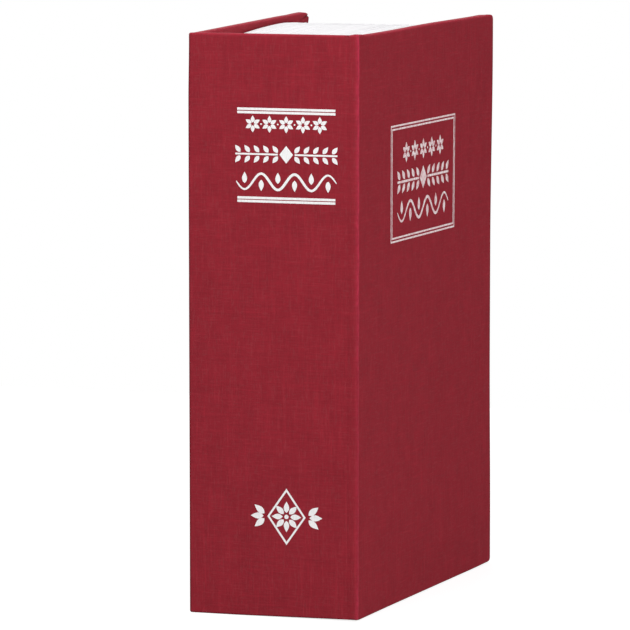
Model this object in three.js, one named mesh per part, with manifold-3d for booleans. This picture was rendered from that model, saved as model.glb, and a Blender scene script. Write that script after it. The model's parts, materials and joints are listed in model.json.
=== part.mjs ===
// A book diversion safe: a small hardback case with a lockable steel box hidden in its pages.
// Millimetres, +Z up. The book stands on its tail edges with the spine towards -Y, the front
// cover towards +X and the fore-edge towards +Y. The origin is the bottom centre of its box.

import * as THREE from "three";
import { mergeVertices } from "three/addons/utils/BufferGeometryUtils.js";
import { RoundedBoxGeometry } from "three/addons/geometries/RoundedBoxGeometry.js";
import Module from "manifold-3d";

const wasm = await Module();
wasm.setup();

// Driving dimensions of the closed book
const bookHeight = 180;
const bookWidth = 115;
const bookThickness = 54;

// How far the front cover stands open as the book is kept, in degrees
const coverAjar = 6;

// Hard cover: greyboard wrapped in printed covering paper
const boardThickness = 1.8;
const coveringThickness = 0.3;
const glueLine = 0.3;
const turnIn = 14;
const coverEdgeRadius = 0.6;
const jointGap = 0.3;
const jointGroove = 1.2;

// Endpapers and spine lining
const endpaperThickness = 0.25;
const endpaperMargin = 3;
const endpaperHingeGap = 0.5;

// Page block: a ring of pages round the steel box
const square = 3.5;
const pageWall = 13;
const bindingMargin = 2.5;
const pageClearance = 0.6;
const boxClearance = 0.4;
const bindingRelief = 0.6;

// Steel box
const boxSheet = 1;
const boxCorner = 3;
const lipWidth = 6;
const mouthCorner = 2;
const lipClearance = 0.6;

// Steel lid
const lidSheet = 1;
const lidCorner = 3;
const lidFaceClearance = 0.4;
const skirtGap = 0.3;
const lidHingeGap = 0.3;

// Piano hinge between box and lid
const pinRadius = 0.9;
const pinClearance = 0.1;
const knuckleWall = 0.8;
const knuckleCount = 13;
const knuckleGap = 0.4;
const hingeEndInset = 0.5;
const pinEndInset = 0.4;
const leafSheet = 0.8;
const leafGap = 0.3;
const seatGap = 0.2;

// Rivets of the hinge
const rivetCount = 5;
const rivetShankRadius = 1.2;
const rivetHoleClearance = 0.15;
const rivetHeadRadius = 2.2;
const rivetHeadHeight = 0.6;
const rivetTailRadius = 1.8;
const rivetTailHeight = 0.5;
const rivetTailGap = 0.2;
const rivetEdge = 3;
const rivetEndInset = 12;

// Cam lock
const lockSetback = 22;
const housingRadius = 8;
const housingFlatDepth = 1;
const housingLength = 14;
const bezelFlange = 1.75;
const bezelHeight = 1.6;
const bezelChamfer = 0.6;
const housingClearance = 0.2;
const housingWall = 2.85;
const plugClearance = 0.15;
const plugRecess = 0.3;
const keywayWidth = 1.5;
const keywayHeight = 6.4;
const keywayDepth = 11;
const tailSquare = 5;
const tailClearance = 0.15;
const washerRing = 3;
const washerSheet = 0.7;
const nutSides = 6;
const nutWall = 2;
const nutHeight = 3;

// Cam and the screw that holds it
const camSheet = 2;
const camWidth = 11;
const camTipGap = 3.3;
const camGap = 0.3;
const screwShankRadius = 1.6;
const screwHoleClearance = 0.2;
const screwGrip = 3.5;
const screwHeadRadius = 3.6;
const screwHeadHeight = 2;
const screwSlotWidth = 0.9;
const screwSlotDepth = 0.9;

// Keeper that the cam turns behind
const keeperSheet = 1.5;
const keeperWidth = 30;
const keeperReach = 8;
const keeperClearance = 0.4;
const keeperTopGap = 1;

// One overrun for every cut that goes right through
const overrun = 1;

// Facets
const roundSides = 32;
const smallSides = 16;
const knuckleSides = 20;
const cornerSteps = 6;
const edgeSteps = 2;

// Stack of a cover, from its outer face to the face of its turn-ins
const coverThickness = 2 * coveringThickness + 2 * glueLine + boardThickness;
const liningDepth = coverThickness + glueLine + endpaperThickness;

// Closed book, measured from the middle of its thickness and width
const coverInner = bookThickness / 2 - coverThickness;
const liningFace = bookThickness / 2 - liningDepth;
const spineFace = -bookWidth / 2;
const spineLiningFace = spineFace + liningDepth;

// Page block
const pageBack = -liningFace + glueLine;
const pageFront = liningFace - pageClearance;
const pageSpine = spineLiningFace + glueLine;
const pageForeEdge = bookWidth / 2 - square;
const pageTail = square;
const pageHead = bookHeight - square;
const holeSpine = pageSpine + bindingMargin;

// Lid face and hinge axis
const lidFace = pageFront - bezelHeight - lidFaceClearance;
const barrelRadius = pinRadius + pinClearance + knuckleWall;
const hingeX = lidFace;
const hingeY = holeSpine + boxClearance + rivetHeadHeight + seatGap;

// Steel box
const boxBack = pageBack;
const boxSpine = hingeY + leafSheet + seatGap;
const boxForeEdge = pageForeEdge - pageWall - boxClearance;
const boxTail = pageTail + pageWall + boxClearance;
const boxHead = pageHead - pageWall - boxClearance;
const lidLeafTop = lidFace - lidSheet - seatGap;
const lidLeafBottom = lidLeafTop - leafSheet;
const boxFront = lidLeafBottom - lipClearance;

// Hinge along the box. The lid's rivets stand clear of the box's lip, and that sets the leaves' width.
const hingeTail = boxTail + lidSheet + hingeEndInset;
const hingeHead = boxHead - lidSheet - hingeEndInset;
const knucklePitch = (hingeHead - hingeTail + knuckleGap) / knuckleCount;
const rivetStep = (hingeHead - hingeTail - 2 * rivetEndInset) / (rivetCount - 1);
const rivetHoleRadius = rivetShankRadius + rivetHoleClearance;
const lidRivetY = boxSpine + lipWidth + rivetTailGap + rivetTailRadius;
const leafWidth = lidRivetY - hingeY + rivetEdge;
const boxRivetX = hingeX - leafWidth + rivetEdge;

// Lock
const lockY = boxForeEdge - lockSetback;
const lockZ = bookHeight / 2;
const housingEnd = lidFace - housingLength;
const housingFlat = housingRadius - housingFlatDepth;
const bezelRadius = housingRadius + bezelFlange;
const plugBore = housingRadius - housingWall;
const plugRadius = plugBore - plugClearance;
const camTop = housingEnd - camGap;
const camBottom = camTop - camSheet;
const camReach = lockSetback - boxSheet - seatGap - camTipGap;

// Colours and finishes
const finishes = {
  covering: new THREE.MeshStandardMaterial({ color: 0x942b3b, roughness: 0.62, metalness: 0 }),
  greyboard: new THREE.MeshStandardMaterial({ color: 0x8f8779, roughness: 0.95, metalness: 0 }),
  endpaper: new THREE.MeshStandardMaterial({ color: 0xe9e3d3, roughness: 0.9, metalness: 0 }),
  pages: new THREE.MeshStandardMaterial({ color: 0xf4f1ea, roughness: 0.9, metalness: 0 }),
  powderCoat: new THREE.MeshStandardMaterial({ color: 0x2c2e31, roughness: 0.55, metalness: 0.2 }),
  zincPlate: new THREE.MeshStandardMaterial({ color: 0xb6b9bd, roughness: 0.35, metalness: 1 }),
  chrome: new THREE.MeshStandardMaterial({ color: 0xd9dbde, roughness: 0.12, metalness: 1 }),
};

// A closed three.js geometry as a solid that can be cut and joined
function solid(geometry) {
  const bare = geometry.clone();
  bare.deleteAttribute("normal");
  bare.deleteAttribute("uv");
  const merged = mergeVertices(bare);
  const vertProperties = new Float32Array(merged.attributes.position.array);
  const triVerts = new Uint32Array(merged.index.array);
  return new wasm.Manifold(new wasm.Mesh({ numProp: 3, vertProperties, triVerts }));
}

// A solid back as a flat-shaded three.js geometry
function surface(body) {
  const cut = body.getMesh();
  const geometry = new THREE.BufferGeometry();
  geometry.setAttribute("position", new THREE.BufferAttribute(new Float32Array(cut.vertProperties), 3));
  geometry.setIndex(new THREE.BufferAttribute(new Uint32Array(cut.triVerts), 1));
  geometry.computeVertexNormals();
  return geometry;
}

// A block between two corners, each given as [x, y, z]
function block(low, high) {
  const size = high.map((value, axis) => value - low[axis]);
  const centre = high.map((value, axis) => (value + low[axis]) / 2);
  const placed = new THREE.Matrix4().makeScale(...size).setPosition(...centre);
  return solid(new THREE.BoxGeometry(1, 1, 1).applyMatrix4(placed));
}

// The same block with its twelve edges rounded
function roundedBlock(low, high, radius) {
  const size = high.map((value, axis) => value - low[axis]);
  const centre = high.map((value, axis) => (value + low[axis]) / 2);
  const geometry = new RoundedBoxGeometry(...size, edgeSteps, radius);
  geometry.translate(...centre);
  return solid(geometry);
}

// A flat outline drawn in Y and Z, made into a plate between two X values
function plate(outline, xLow, xHigh) {
  const geometry = new THREE.ExtrudeGeometry(outline, {
    depth: xHigh - xLow,
    bevelEnabled: false,
    curveSegments: cornerSteps,
  });
  const yAxis = new THREE.Vector3(0, 1, 0);
  const zAxis = new THREE.Vector3(0, 0, 1);
  const xAxis = new THREE.Vector3(1, 0, 0);
  geometry.applyMatrix4(new THREE.Matrix4().makeBasis(yAxis, zAxis, xAxis).setPosition(xLow, 0, 0));
  return solid(geometry);
}

// A rectangle with round corners, drawn in Y and Z
function roundedOutline(yLow, yHigh, zLow, zHigh, radius) {
  const outline = new THREE.Shape();
  outline.absarc(yHigh - radius, zLow + radius, radius, -Math.PI / 2, 0);
  outline.absarc(yHigh - radius, zHigh - radius, radius, 0, Math.PI / 2);
  outline.absarc(yLow + radius, zHigh - radius, radius, Math.PI / 2, Math.PI);
  outline.absarc(yLow + radius, zLow + radius, radius, Math.PI, 1.5 * Math.PI);
  return outline;
}

// Round bars along X, Y and Z
function barAlongX(radius, xLow, xHigh, y, z, sides) {
  const geometry = new THREE.CylinderGeometry(radius, radius, xHigh - xLow, sides);
  geometry.rotateZ(-Math.PI / 2);
  geometry.translate((xLow + xHigh) / 2, y, z);
  return solid(geometry);
}

function barAlongY(radius, yLow, yHigh, x, z, sides) {
  const geometry = new THREE.CylinderGeometry(radius, radius, yHigh - yLow, sides);
  geometry.translate(x, (yLow + yHigh) / 2, z);
  return solid(geometry);
}

function barAlongZ(radius, zLow, zHigh, x, y, sides) {
  const geometry = new THREE.CylinderGeometry(radius, radius, zHigh - zLow, sides);
  geometry.rotateX(Math.PI / 2);
  geometry.translate(x, y, (zLow + zHigh) / 2);
  return solid(geometry);
}

// A turned piece whose profile runs up its axis, drawn as [radius, height] and turned about +Y
function turned(profile, sides) {
  const points = profile.map(([radius, height]) => new THREE.Vector2(radius, height));
  return new THREE.LatheGeometry(points, sides);
}

function addPiece(group, name, geometry, finish) {
  const mesh = new THREE.Mesh(geometry, finish.clone());
  mesh.name = name;
  group.add(mesh);
  return mesh;
}

// Hard cover panels. A panel is drawn with its turn-in face at x = 0 and its outer face at
// x = side * coverThickness, from the spine edge at y = 0 to the fore-edge at y = bookWidth.
function sided(side, near, far, yLow, yHigh, zLow, zHigh) {
  const edges = [side * near, side * far];
  return [[Math.min(...edges), yLow, zLow], [Math.max(...edges), yHigh, zHigh]];
}

function coverBoard(side) {
  const inset = coveringThickness + glueLine;
  const corners = sided(
    side, inset, inset + boardThickness, inset, bookWidth - inset, inset, bookHeight - inset,
  );
  return surface(block(...corners));
}

function coverCovering(side) {
  const sheet = coveringThickness;
  const outer = sided(side, 0, coverThickness, 0, bookWidth, 0, bookHeight);
  const pocket = sided(
    side, sheet, coverThickness - sheet, sheet, bookWidth - sheet, sheet, bookHeight - sheet,
  );
  const window = sided(
    side, -overrun, coverThickness / 2, sheet, bookWidth - turnIn, turnIn, bookHeight - turnIn,
  );
  const wrapped = roundedBlock(...outer, coverEdgeRadius);
  return surface(wrapped.subtract(block(...pocket)).subtract(block(...window)));
}

function coverEndpaper(side) {
  const far = -glueLine - endpaperThickness;
  const yLow = liningDepth + endpaperHingeGap;
  const corners = sided(
    side, -glueLine, far, yLow, bookWidth - endpaperMargin, endpaperMargin, bookHeight - endpaperMargin,
  );
  return surface(block(...corners));
}

function buildCover(group, label, side) {
  addPiece(group, `${label}_board`, coverBoard(side), finishes.greyboard);
  addPiece(group, `${label}_covering`, coverCovering(side), finishes.covering);
  addPiece(group, `${label}_endpaper`, coverEndpaper(side), finishes.endpaper);
}

// Spine panel: the same stack, its outer face towards -Y, between the two joints
function buildSpine(group) {
  const sheet = coveringThickness;
  const inset = sheet + glueLine;
  const halfWidth = coverInner - jointGap;
  const boardHalf = coverInner - jointGroove;
  const panel = roundedBlock(
    [-bookThickness / 2, spineFace, 0],
    [bookThickness / 2, spineFace + coverThickness, bookHeight],
    coverEdgeRadius,
  );
  const trim = block(
    [-halfWidth, spineFace - overrun, -overrun],
    [halfWidth, spineFace + bookWidth, bookHeight + overrun],
  );
  const pocket = block(
    [-bookThickness, spineFace + sheet, sheet],
    [bookThickness, spineFace + coverThickness - sheet, bookHeight - sheet],
  );
  const window = block(
    [-bookThickness, spineFace + coverThickness / 2, turnIn],
    [bookThickness, spineFace + coverThickness + overrun, bookHeight - turnIn],
  );
  const covering = panel.intersect(trim).subtract(pocket).subtract(window);
  const board = block(
    [-boardHalf, spineFace + inset, inset],
    [boardHalf, spineFace + inset + boardThickness, bookHeight - inset],
  );
  const lining = block(
    [-boardHalf, spineLiningFace - endpaperThickness, endpaperMargin],
    [boardHalf, spineLiningFace, bookHeight - endpaperMargin],
  );
  addPiece(group, "spine_board", surface(board), finishes.greyboard);
  addPiece(group, "spine_covering", surface(covering), finishes.covering);
  addPiece(group, "spine_lining", surface(lining), finishes.endpaper);
}

// Page block: a ring of trimmed pages, lower at the binding side so that the hinge can turn
function pageBlock() {
  const ring = block([pageBack, pageSpine, pageTail], [pageFront, pageForeEdge, pageHead]);
  const holeTail = boxTail - boxClearance;
  const holeHead = boxHead + boxClearance;
  const hole = block(
    [pageBack - overrun, holeSpine, holeTail],
    [pageFront + overrun, boxForeEdge + boxClearance, holeHead],
  );
  const relief = block(
    [hingeX - barrelRadius - bindingRelief, pageSpine - overrun, holeTail],
    [pageFront + overrun, holeSpine + overrun, holeHead],
  );
  return surface(ring.subtract(hole).subtract(relief));
}

function rivetHeights() {
  return Array.from({ length: rivetCount }, (_, index) => hingeTail + rivetEndInset + index * rivetStep);
}

// Steel box: a deep pan whose walls turn inwards at the mouth
function safeBox() {
  const outline = roundedOutline(boxSpine, boxForeEdge, boxTail, boxHead, boxCorner);
  const insideOutline = roundedOutline(
    boxSpine + boxSheet, boxForeEdge - boxSheet, boxTail + boxSheet, boxHead - boxSheet,
    boxCorner - boxSheet,
  );
  const mouthOutline = roundedOutline(
    boxSpine + lipWidth, boxForeEdge - lipWidth, boxTail + lipWidth, boxHead - lipWidth, mouthCorner,
  );
  let pan = plate(outline, boxBack, boxFront);
  pan = pan.subtract(plate(insideOutline, boxBack + boxSheet, boxFront - boxSheet));
  pan = pan.subtract(plate(mouthOutline, boxFront - 2 * boxSheet, boxFront + overrun));
  for (const height of rivetHeights()) {
    const hole = barAlongY(
      rivetHoleRadius, boxSpine - overrun, boxSpine + boxSheet + overrun, boxRivetX, height, smallSides,
    );
    pan = pan.subtract(hole);
  }
  return surface(pan);
}

// Lid: a shallow pan that rests over the lips, open on its hinge side
function safeLid() {
  const lidSpine = hingeY + barrelRadius + lidHingeGap;
  const skirtEnd = boxFront + skirtGap;
  let pan = plate(roundedOutline(lidSpine, boxForeEdge, boxTail, boxHead, lidCorner), skirtEnd, lidFace);
  const pocket = roundedOutline(
    lidSpine - boxCorner - overrun, boxForeEdge - lidSheet, boxTail + lidSheet, boxHead - lidSheet,
    lidCorner - lidSheet,
  );
  pan = pan.subtract(plate(pocket, skirtEnd - overrun, lidFace - lidSheet));
  for (const height of rivetHeights()) {
    const hole = barAlongX(
      rivetHoleRadius, lidFace - lidSheet - overrun, lidFace + overrun, lidRivetY, height, smallSides,
    );
    pan = pan.subtract(hole);
  }
  const lockHole = flattenedBar(
    housingRadius + housingClearance, housingFlat + housingClearance,
    lidFace - lidSheet - overrun, lidFace + overrun,
  );
  return surface(pan.subtract(lockHole));
}

// A round bar on the lock's axis with two flats, one above and one below
function flattenedBar(radius, flat, xLow, xHigh) {
  const round = barAlongX(radius, xLow, xHigh, lockY, lockZ, roundSides);
  const slab = block([xLow, lockY - radius, lockZ - flat], [xHigh, lockY + radius, lockZ + flat]);
  return round.intersect(slab);
}

// Hinge leaves. Knuckles alternate along the barrel: even ones belong to the box, odd ones to the lid.
function knuckleSpan(index) {
  const start = hingeTail + index * knucklePitch;
  return [start, start + knucklePitch - knuckleGap];
}

function addKnuckles(leaf, firstIndex, neckLow, neckHigh) {
  let joined = leaf;
  for (let index = firstIndex; index < knuckleCount; index += 2) {
    const [start, end] = knuckleSpan(index);
    joined = joined.add(block([...neckLow, start], [...neckHigh, end]));
    joined = joined.add(barAlongZ(barrelRadius, start, end, hingeX, hingeY, knuckleSides));
  }
  const bore = barAlongZ(
    pinRadius + pinClearance, hingeTail - overrun, hingeHead + overrun, hingeX, hingeY, knuckleSides,
  );
  return joined.subtract(bore);
}

const neckReach = pinRadius + pinClearance + knuckleWall / 2;

function boxLeaf() {
  const leafTop = hingeX - barrelRadius - leafGap;
  let leaf = block([hingeX - leafWidth, hingeY, hingeTail], [leafTop, hingeY + leafSheet, hingeHead]);
  leaf = addKnuckles(leaf, 0, [leafTop - leafGap, hingeY], [hingeX - neckReach, hingeY + leafSheet]);
  for (const height of rivetHeights()) {
    const hole = barAlongY(
      rivetHoleRadius, hingeY - overrun, hingeY + leafSheet + overrun, boxRivetX, height, smallSides,
    );
    leaf = leaf.subtract(hole);
  }
  return surface(leaf);
}

function lidLeaf() {
  const leafStart = hingeY + barrelRadius + leafGap;
  const neckStart = hingeY + leafSheet + leafGap / 2;
  const neckTop = Math.max(lidLeafTop, hingeX - neckReach);
  let leaf = block([lidLeafBottom, leafStart, hingeTail], [lidLeafTop, hingeY + leafWidth, hingeHead]);
  leaf = addKnuckles(leaf, 1, [lidLeafBottom, neckStart], [neckTop, leafStart + leafGap]);
  for (const height of rivetHeights()) {
    const hole = barAlongX(
      rivetHoleRadius, lidLeafBottom - overrun, lidLeafTop + overrun, lidRivetY, height, smallSides,
    );
    leaf = leaf.subtract(hole);
  }
  return surface(leaf);
}

function hingePin() {
  const span = hingeHead - hingeTail - 2 * pinEndInset;
  const geometry = new THREE.CylinderGeometry(pinRadius, pinRadius, span, knuckleSides);
  geometry.rotateX(Math.PI / 2);
  return geometry;
}

// A rivet through two sheets, its round head at the top of +Y
function rivet(grip) {
  const profile = [
    [0, -grip - rivetTailHeight],
    [rivetTailRadius, -grip - rivetTailHeight],
    [rivetTailRadius, -grip],
    [rivetShankRadius, -grip],
    [rivetShankRadius, 0],
  ];
  for (let step = 0; step <= cornerSteps; step += 1) {
    const angle = (step / cornerSteps) * (Math.PI / 2);
    const radius = step === cornerSteps ? 0 : rivetHeadRadius * Math.cos(angle);
    profile.push([radius, rivetHeadHeight * Math.sin(angle)]);
  }
  return turned(profile, smallSides);
}

function buildRivets(group, label, grip, place) {
  rivetHeights().forEach((height, index) => {
    const piece = addPiece(group, `${label}_rivet_${index + 1}`, rivet(grip), finishes.zincPlate);
    place(piece, height);
  });
}

// Cam lock
function lockHousing() {
  const face = lidFace + seatGap;
  const front = lidFace + bezelHeight;
  const profile = [
    [0, face],
    [bezelRadius, face],
    [bezelRadius, front - bezelChamfer],
    [bezelRadius - bezelChamfer, front],
    [0, front],
  ];
  const bezel = turned(profile, roundSides);
  bezel.rotateZ(-Math.PI / 2);
  bezel.translate(0, lockY, lockZ);
  const body = flattenedBar(housingRadius, housingFlat, housingEnd, front - bezelChamfer);
  const bore = barAlongX(plugBore, housingEnd - overrun, front + overrun, lockY, lockZ, roundSides);
  return surface(solid(bezel).add(body).subtract(bore));
}

function lockPlug() {
  const face = lidFace + bezelHeight - plugRecess;
  const half = tailSquare / 2;
  const barrel = barAlongX(plugRadius, housingEnd, face, lockY, lockZ, roundSides);
  const tail = block(
    [camBottom, lockY - half, lockZ - half],
    [housingEnd + overrun, lockY + half, lockZ + half],
  );
  const keyway = block(
    [face - keywayDepth, lockY - keywayWidth / 2, lockZ - keywayHeight / 2],
    [face + overrun, lockY + keywayWidth / 2, lockZ + keywayHeight / 2],
  );
  const screwHole = barAlongX(
    screwShankRadius + screwHoleClearance, camBottom - overrun, camBottom + screwGrip,
    lockY, lockZ, smallSides,
  );
  return surface(barrel.add(tail).subtract(keyway).subtract(screwHole));
}

function lockWasher() {
  const back = lidFace - lidSheet - seatGap;
  const disc = barAlongX(housingRadius + washerRing, back - washerSheet, back, lockY, lockZ, roundSides);
  const hole = flattenedBar(
    housingRadius + housingClearance, housingFlat + housingClearance,
    back - washerSheet - overrun, back + overrun,
  );
  return surface(disc.subtract(hole));
}

function lockNut() {
  const top = lidFace - lidSheet - 2 * seatGap - washerSheet;
  const cornerRadius = (housingRadius + nutWall) / Math.cos(Math.PI / nutSides);
  const hexagon = barAlongX(cornerRadius, top - nutHeight, top, lockY, lockZ, nutSides);
  const hole = barAlongX(
    housingRadius + housingClearance, top - nutHeight - overrun, top + overrun, lockY, lockZ, roundSides,
  );
  return surface(hexagon.subtract(hole));
}

// Cam: a bar with round ends that points to the head while the lid is free
function lockCam() {
  const half = camWidth / 2;
  const outline = roundedOutline(lockY - half, lockY + half, lockZ - half, lockZ + camReach, half);
  const hole = tailSquare / 2 + tailClearance;
  const bar = plate(outline, camBottom, camTop);
  const squareHole = block(
    [camBottom - overrun, lockY - hole, lockZ - hole],
    [camTop + overrun, lockY + hole, lockZ + hole],
  );
  return surface(bar.subtract(squareHole));
}

function camScrew() {
  const top = camBottom - seatGap;
  const profile = [
    [0, top - screwHeadHeight],
    [screwHeadRadius, top - screwHeadHeight],
    [screwHeadRadius, top],
    [screwShankRadius, top],
    [screwShankRadius, top + screwGrip],
    [0, top + screwGrip],
  ];
  const shape = turned(profile, smallSides);
  shape.rotateZ(-Math.PI / 2);
  shape.translate(0, lockY, lockZ);
  const slotBottom = top - screwHeadHeight;
  const slot = block(
    [slotBottom - overrun, lockY - screwHeadRadius - overrun, lockZ - screwSlotWidth / 2],
    [slotBottom + screwSlotDepth, lockY + screwHeadRadius + overrun, lockZ + screwSlotWidth / 2],
  );
  return surface(solid(shape).subtract(slot));
}

// Keeper: an angle welded inside the fore-edge wall, its flange just in front of the turned cam
function lockKeeper() {
  const wall = boxForeEdge - boxSheet - seatGap;
  const flangeBack = camTop + keeperClearance;
  const half = keeperWidth / 2;
  const leg = block(
    [flangeBack, wall - keeperSheet, lockZ - half],
    [boxFront - boxSheet - keeperTopGap, wall, lockZ + half],
  );
  const flange = block(
    [flangeBack, wall - keeperReach, lockZ - half],
    [flangeBack + keeperSheet, wall, lockZ + half],
  );
  return surface(leg.add(flange));
}

// Assembly
const book = new THREE.Group();

// Back cover, spine, pages and box, which stay still
const caseGroup = new THREE.Group();
book.add(caseGroup);
const backCover = new THREE.Group();
backCover.position.set(-coverInner, spineFace, 0);
caseGroup.add(backCover);
buildCover(backCover, "back", -1);
buildSpine(caseGroup);
addPiece(caseGroup, "page_block", pageBlock(), finishes.pages);
addPiece(caseGroup, "safe_box", safeBox(), finishes.powderCoat);
addPiece(caseGroup, "hinge_box_leaf", boxLeaf(), finishes.zincPlate);
const pin = addPiece(caseGroup, "hinge_pin", hingePin(), finishes.zincPlate);
pin.position.set(hingeX, hingeY, bookHeight / 2);
addPiece(caseGroup, "lock_keeper", lockKeeper(), finishes.zincPlate);
buildRivets(caseGroup, "box_leaf", leafSheet + boxSheet + 3 * seatGap, (piece, height) => {
  piece.rotation.x = Math.PI;
  piece.position.set(boxRivetX, hingeY - seatGap, height);
});

// Front cover, turned open about the joint at the edge of the spine
const frontCover = new THREE.Group();
frontCover.position.set(coverInner, spineFace, 0);
frontCover.rotation.z = -THREE.MathUtils.degToRad(coverAjar);
book.add(frontCover);
buildCover(frontCover, "front", 1);

// Lid, with the parts of the lock that do not turn
const lidGroup = new THREE.Group();
book.add(lidGroup);
addPiece(lidGroup, "safe_lid", safeLid(), finishes.powderCoat);
addPiece(lidGroup, "hinge_lid_leaf", lidLeaf(), finishes.zincPlate);
addPiece(lidGroup, "lock_housing", lockHousing(), finishes.chrome);
addPiece(lidGroup, "lock_washer", lockWasher(), finishes.zincPlate);
addPiece(lidGroup, "lock_nut", lockNut(), finishes.zincPlate);
buildRivets(lidGroup, "lid_leaf", lidSheet + leafSheet + 3 * seatGap, (piece, height) => {
  piece.rotation.z = -Math.PI / 2;
  piece.position.set(lidFace + seatGap, lidRivetY, height);
});

// Turning parts of the lock
const lockCore = new THREE.Group();
lidGroup.add(lockCore);
addPiece(lockCore, "lock_plug", lockPlug(), finishes.chrome);
addPiece(lockCore, "lock_cam", lockCam(), finishes.zincPlate);
addPiece(lockCore, "cam_screw", camScrew(), finishes.zincPlate);

// Move the whole book so that its own box stands centred on the origin
book.updateMatrixWorld(true);
const reach = new THREE.Box3();
book.traverse((child) => {
  if (child.isMesh) {
    reach.union(new THREE.Box3().setFromBufferAttribute(
      child.geometry.clone().applyMatrix4(child.matrixWorld).attributes.position,
    ));
  }
});
book.position.set(-(reach.min.x + reach.max.x) / 2, -(reach.min.y + reach.max.y) / 2, 0);

export default book;
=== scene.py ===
import json
import math

import bmesh
import bpy
from bpy.props import FloatProperty, FloatVectorProperty, IntProperty, PointerProperty
from mathutils import Matrix, Vector


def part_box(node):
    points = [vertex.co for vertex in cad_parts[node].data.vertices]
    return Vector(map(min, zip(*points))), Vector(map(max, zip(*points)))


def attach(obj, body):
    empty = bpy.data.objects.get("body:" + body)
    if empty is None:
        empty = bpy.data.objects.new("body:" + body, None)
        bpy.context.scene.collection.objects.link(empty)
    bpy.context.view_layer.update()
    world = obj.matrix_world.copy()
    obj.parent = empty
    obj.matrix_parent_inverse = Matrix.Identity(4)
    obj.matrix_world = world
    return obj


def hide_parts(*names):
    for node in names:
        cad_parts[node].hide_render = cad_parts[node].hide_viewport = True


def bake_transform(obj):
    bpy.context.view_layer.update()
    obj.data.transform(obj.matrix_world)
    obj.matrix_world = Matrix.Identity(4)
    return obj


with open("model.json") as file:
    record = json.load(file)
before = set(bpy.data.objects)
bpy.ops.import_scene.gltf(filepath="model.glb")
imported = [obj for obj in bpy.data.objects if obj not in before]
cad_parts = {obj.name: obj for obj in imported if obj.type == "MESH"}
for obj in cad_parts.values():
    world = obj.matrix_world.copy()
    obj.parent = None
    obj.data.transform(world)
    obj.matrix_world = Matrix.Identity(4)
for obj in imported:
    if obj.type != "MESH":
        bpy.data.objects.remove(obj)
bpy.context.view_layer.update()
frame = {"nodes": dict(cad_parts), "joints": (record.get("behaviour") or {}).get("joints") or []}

bl_info = {
    "name": "Book diversion safe",
    "version": (1, 0, 0),
    "blender": (4, 5, 0),
    "location": "3D View > Sidebar > Book safe",
    "description": "Dresses a hardback book safe in covering paper, foil, pages, paint and plating",
    "category": "Object",
}

MM = 0.001


def linear(code):
    """An sRGB hex colour as the linear red, green and blue that a socket holds."""
    channels = [int(code[start:start + 2], 16) / 255 for start in (0, 2, 4)]
    return [c / 12.92 if c <= 0.04045 else ((c + 0.055) / 1.055) ** 2.4 for c in channels]


def joint_place(name):
    """A point on the axis of one of the frame's joints."""
    return Vector(next(joint["pos_m"] for joint in frame["joints"] if joint["name"] == name))


WHITE = linear("ffffff")

# Places that the frame gives
BACK_LOW, BACK_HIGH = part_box("back_covering")
SPINE_LOW, SPINE_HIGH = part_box("spine_covering")
PAGES_LOW, PAGES_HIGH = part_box("page_block")
BOX_LOW, BOX_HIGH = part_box("safe_box")
LID_LOW, LID_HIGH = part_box("safe_lid")
COVER_THICKNESS = BACK_HIGH.x - BACK_LOW.x
COVER_WIDTH = BACK_HIGH.y - BACK_LOW.y
COVER_HEIGHT = BACK_HIGH.z - BACK_LOW.z
COVER_PIVOT = joint_place("cover_hinge")

# Loose corners nearer than this are one corner of a CAD solid.
WELD = 0.002 * MM
# An edge is broken where its two faces turn by more than this.
SHARP = math.radians(50)
# An edge is drawn sharp where its two faces turn by more than this.
CREASE = math.radians(40)


class CoverSettings(bpy.types.PropertyGroup):
    """Covering paper and the boards under it."""

    paper: FloatVectorProperty(
        name="Paper", description="Colour of the covering paper", subtype="COLOR", default=linear("952632"),
    )
    worn_and_highlight: FloatVectorProperty(
        name="Worn edge", description="Colour of the paper where its edges are rubbed", subtype="COLOR",
        default=linear("cc3852"),
    )
    fibre: FloatVectorProperty(
        name="Fibre", description="Colour of the undyed fibres in the paper", subtype="COLOR",
        default=linear("e6dcd8"),
    )
    ajar: FloatProperty(
        name="Ajar", description="How far the front cover stands open at rest, as in the frame",
        unit="ROTATION", subtype="ANGLE", default=math.radians(6),
    )
    sheet: FloatProperty(
        name="Sheet", description="Thickness of the covering paper", unit="LENGTH", default=0.3 * MM,
    )
    edge: FloatProperty(
        name="Edge radius", description="Rounding of the paper over the board's edges", unit="LENGTH",
        default=0.6 * MM,
    )
    front_corner: FloatProperty(
        name="Front corner", description="Rounding of the front cover's corners at the fore-edge",
        unit="LENGTH", default=1.5 * MM,
    )
    back_corner: FloatProperty(
        name="Back corner", description="Rounding of the back cover's corners at the fore-edge",
        unit="LENGTH", default=2.4 * MM,
    )
    turn_in: FloatProperty(
        name="Turn-in", description="Paper turned over onto the inner face", unit="LENGTH", default=14 * MM,
    )


class FoilSettings(bpy.types.PropertyGroup):
    """Blocked foil ornament."""

    foil: FloatVectorProperty(
        name="Foil", description="Colour of the blocked foil", subtype="COLOR", default=linear("fdfcfc"),
    )
    thickness: FloatProperty(
        name="Height", description="How far the foil stands above the paper", unit="LENGTH",
        default=0.03 * MM,
    )
    spine_rule: FloatProperty(
        name="Spine rule", description="Width of the straight rules on the spine", unit="LENGTH",
        default=0.75 * MM,
    )
    front_rule: FloatProperty(
        name="Front rule", description="Width of the level rules on the front cover", unit="LENGTH",
        default=0.55 * MM,
    )
    # The front cover's show-through is partly thin foil and partly painted shade, which keeps its foil darker
    # than the spine's.
    show_through_and_shade: FloatProperty(
        name="Show-through", description="Share of the paper that shows through the front cover's foil",
        subtype="FACTOR", min=0.0, max=0.5, default=0.34,
    )


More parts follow.
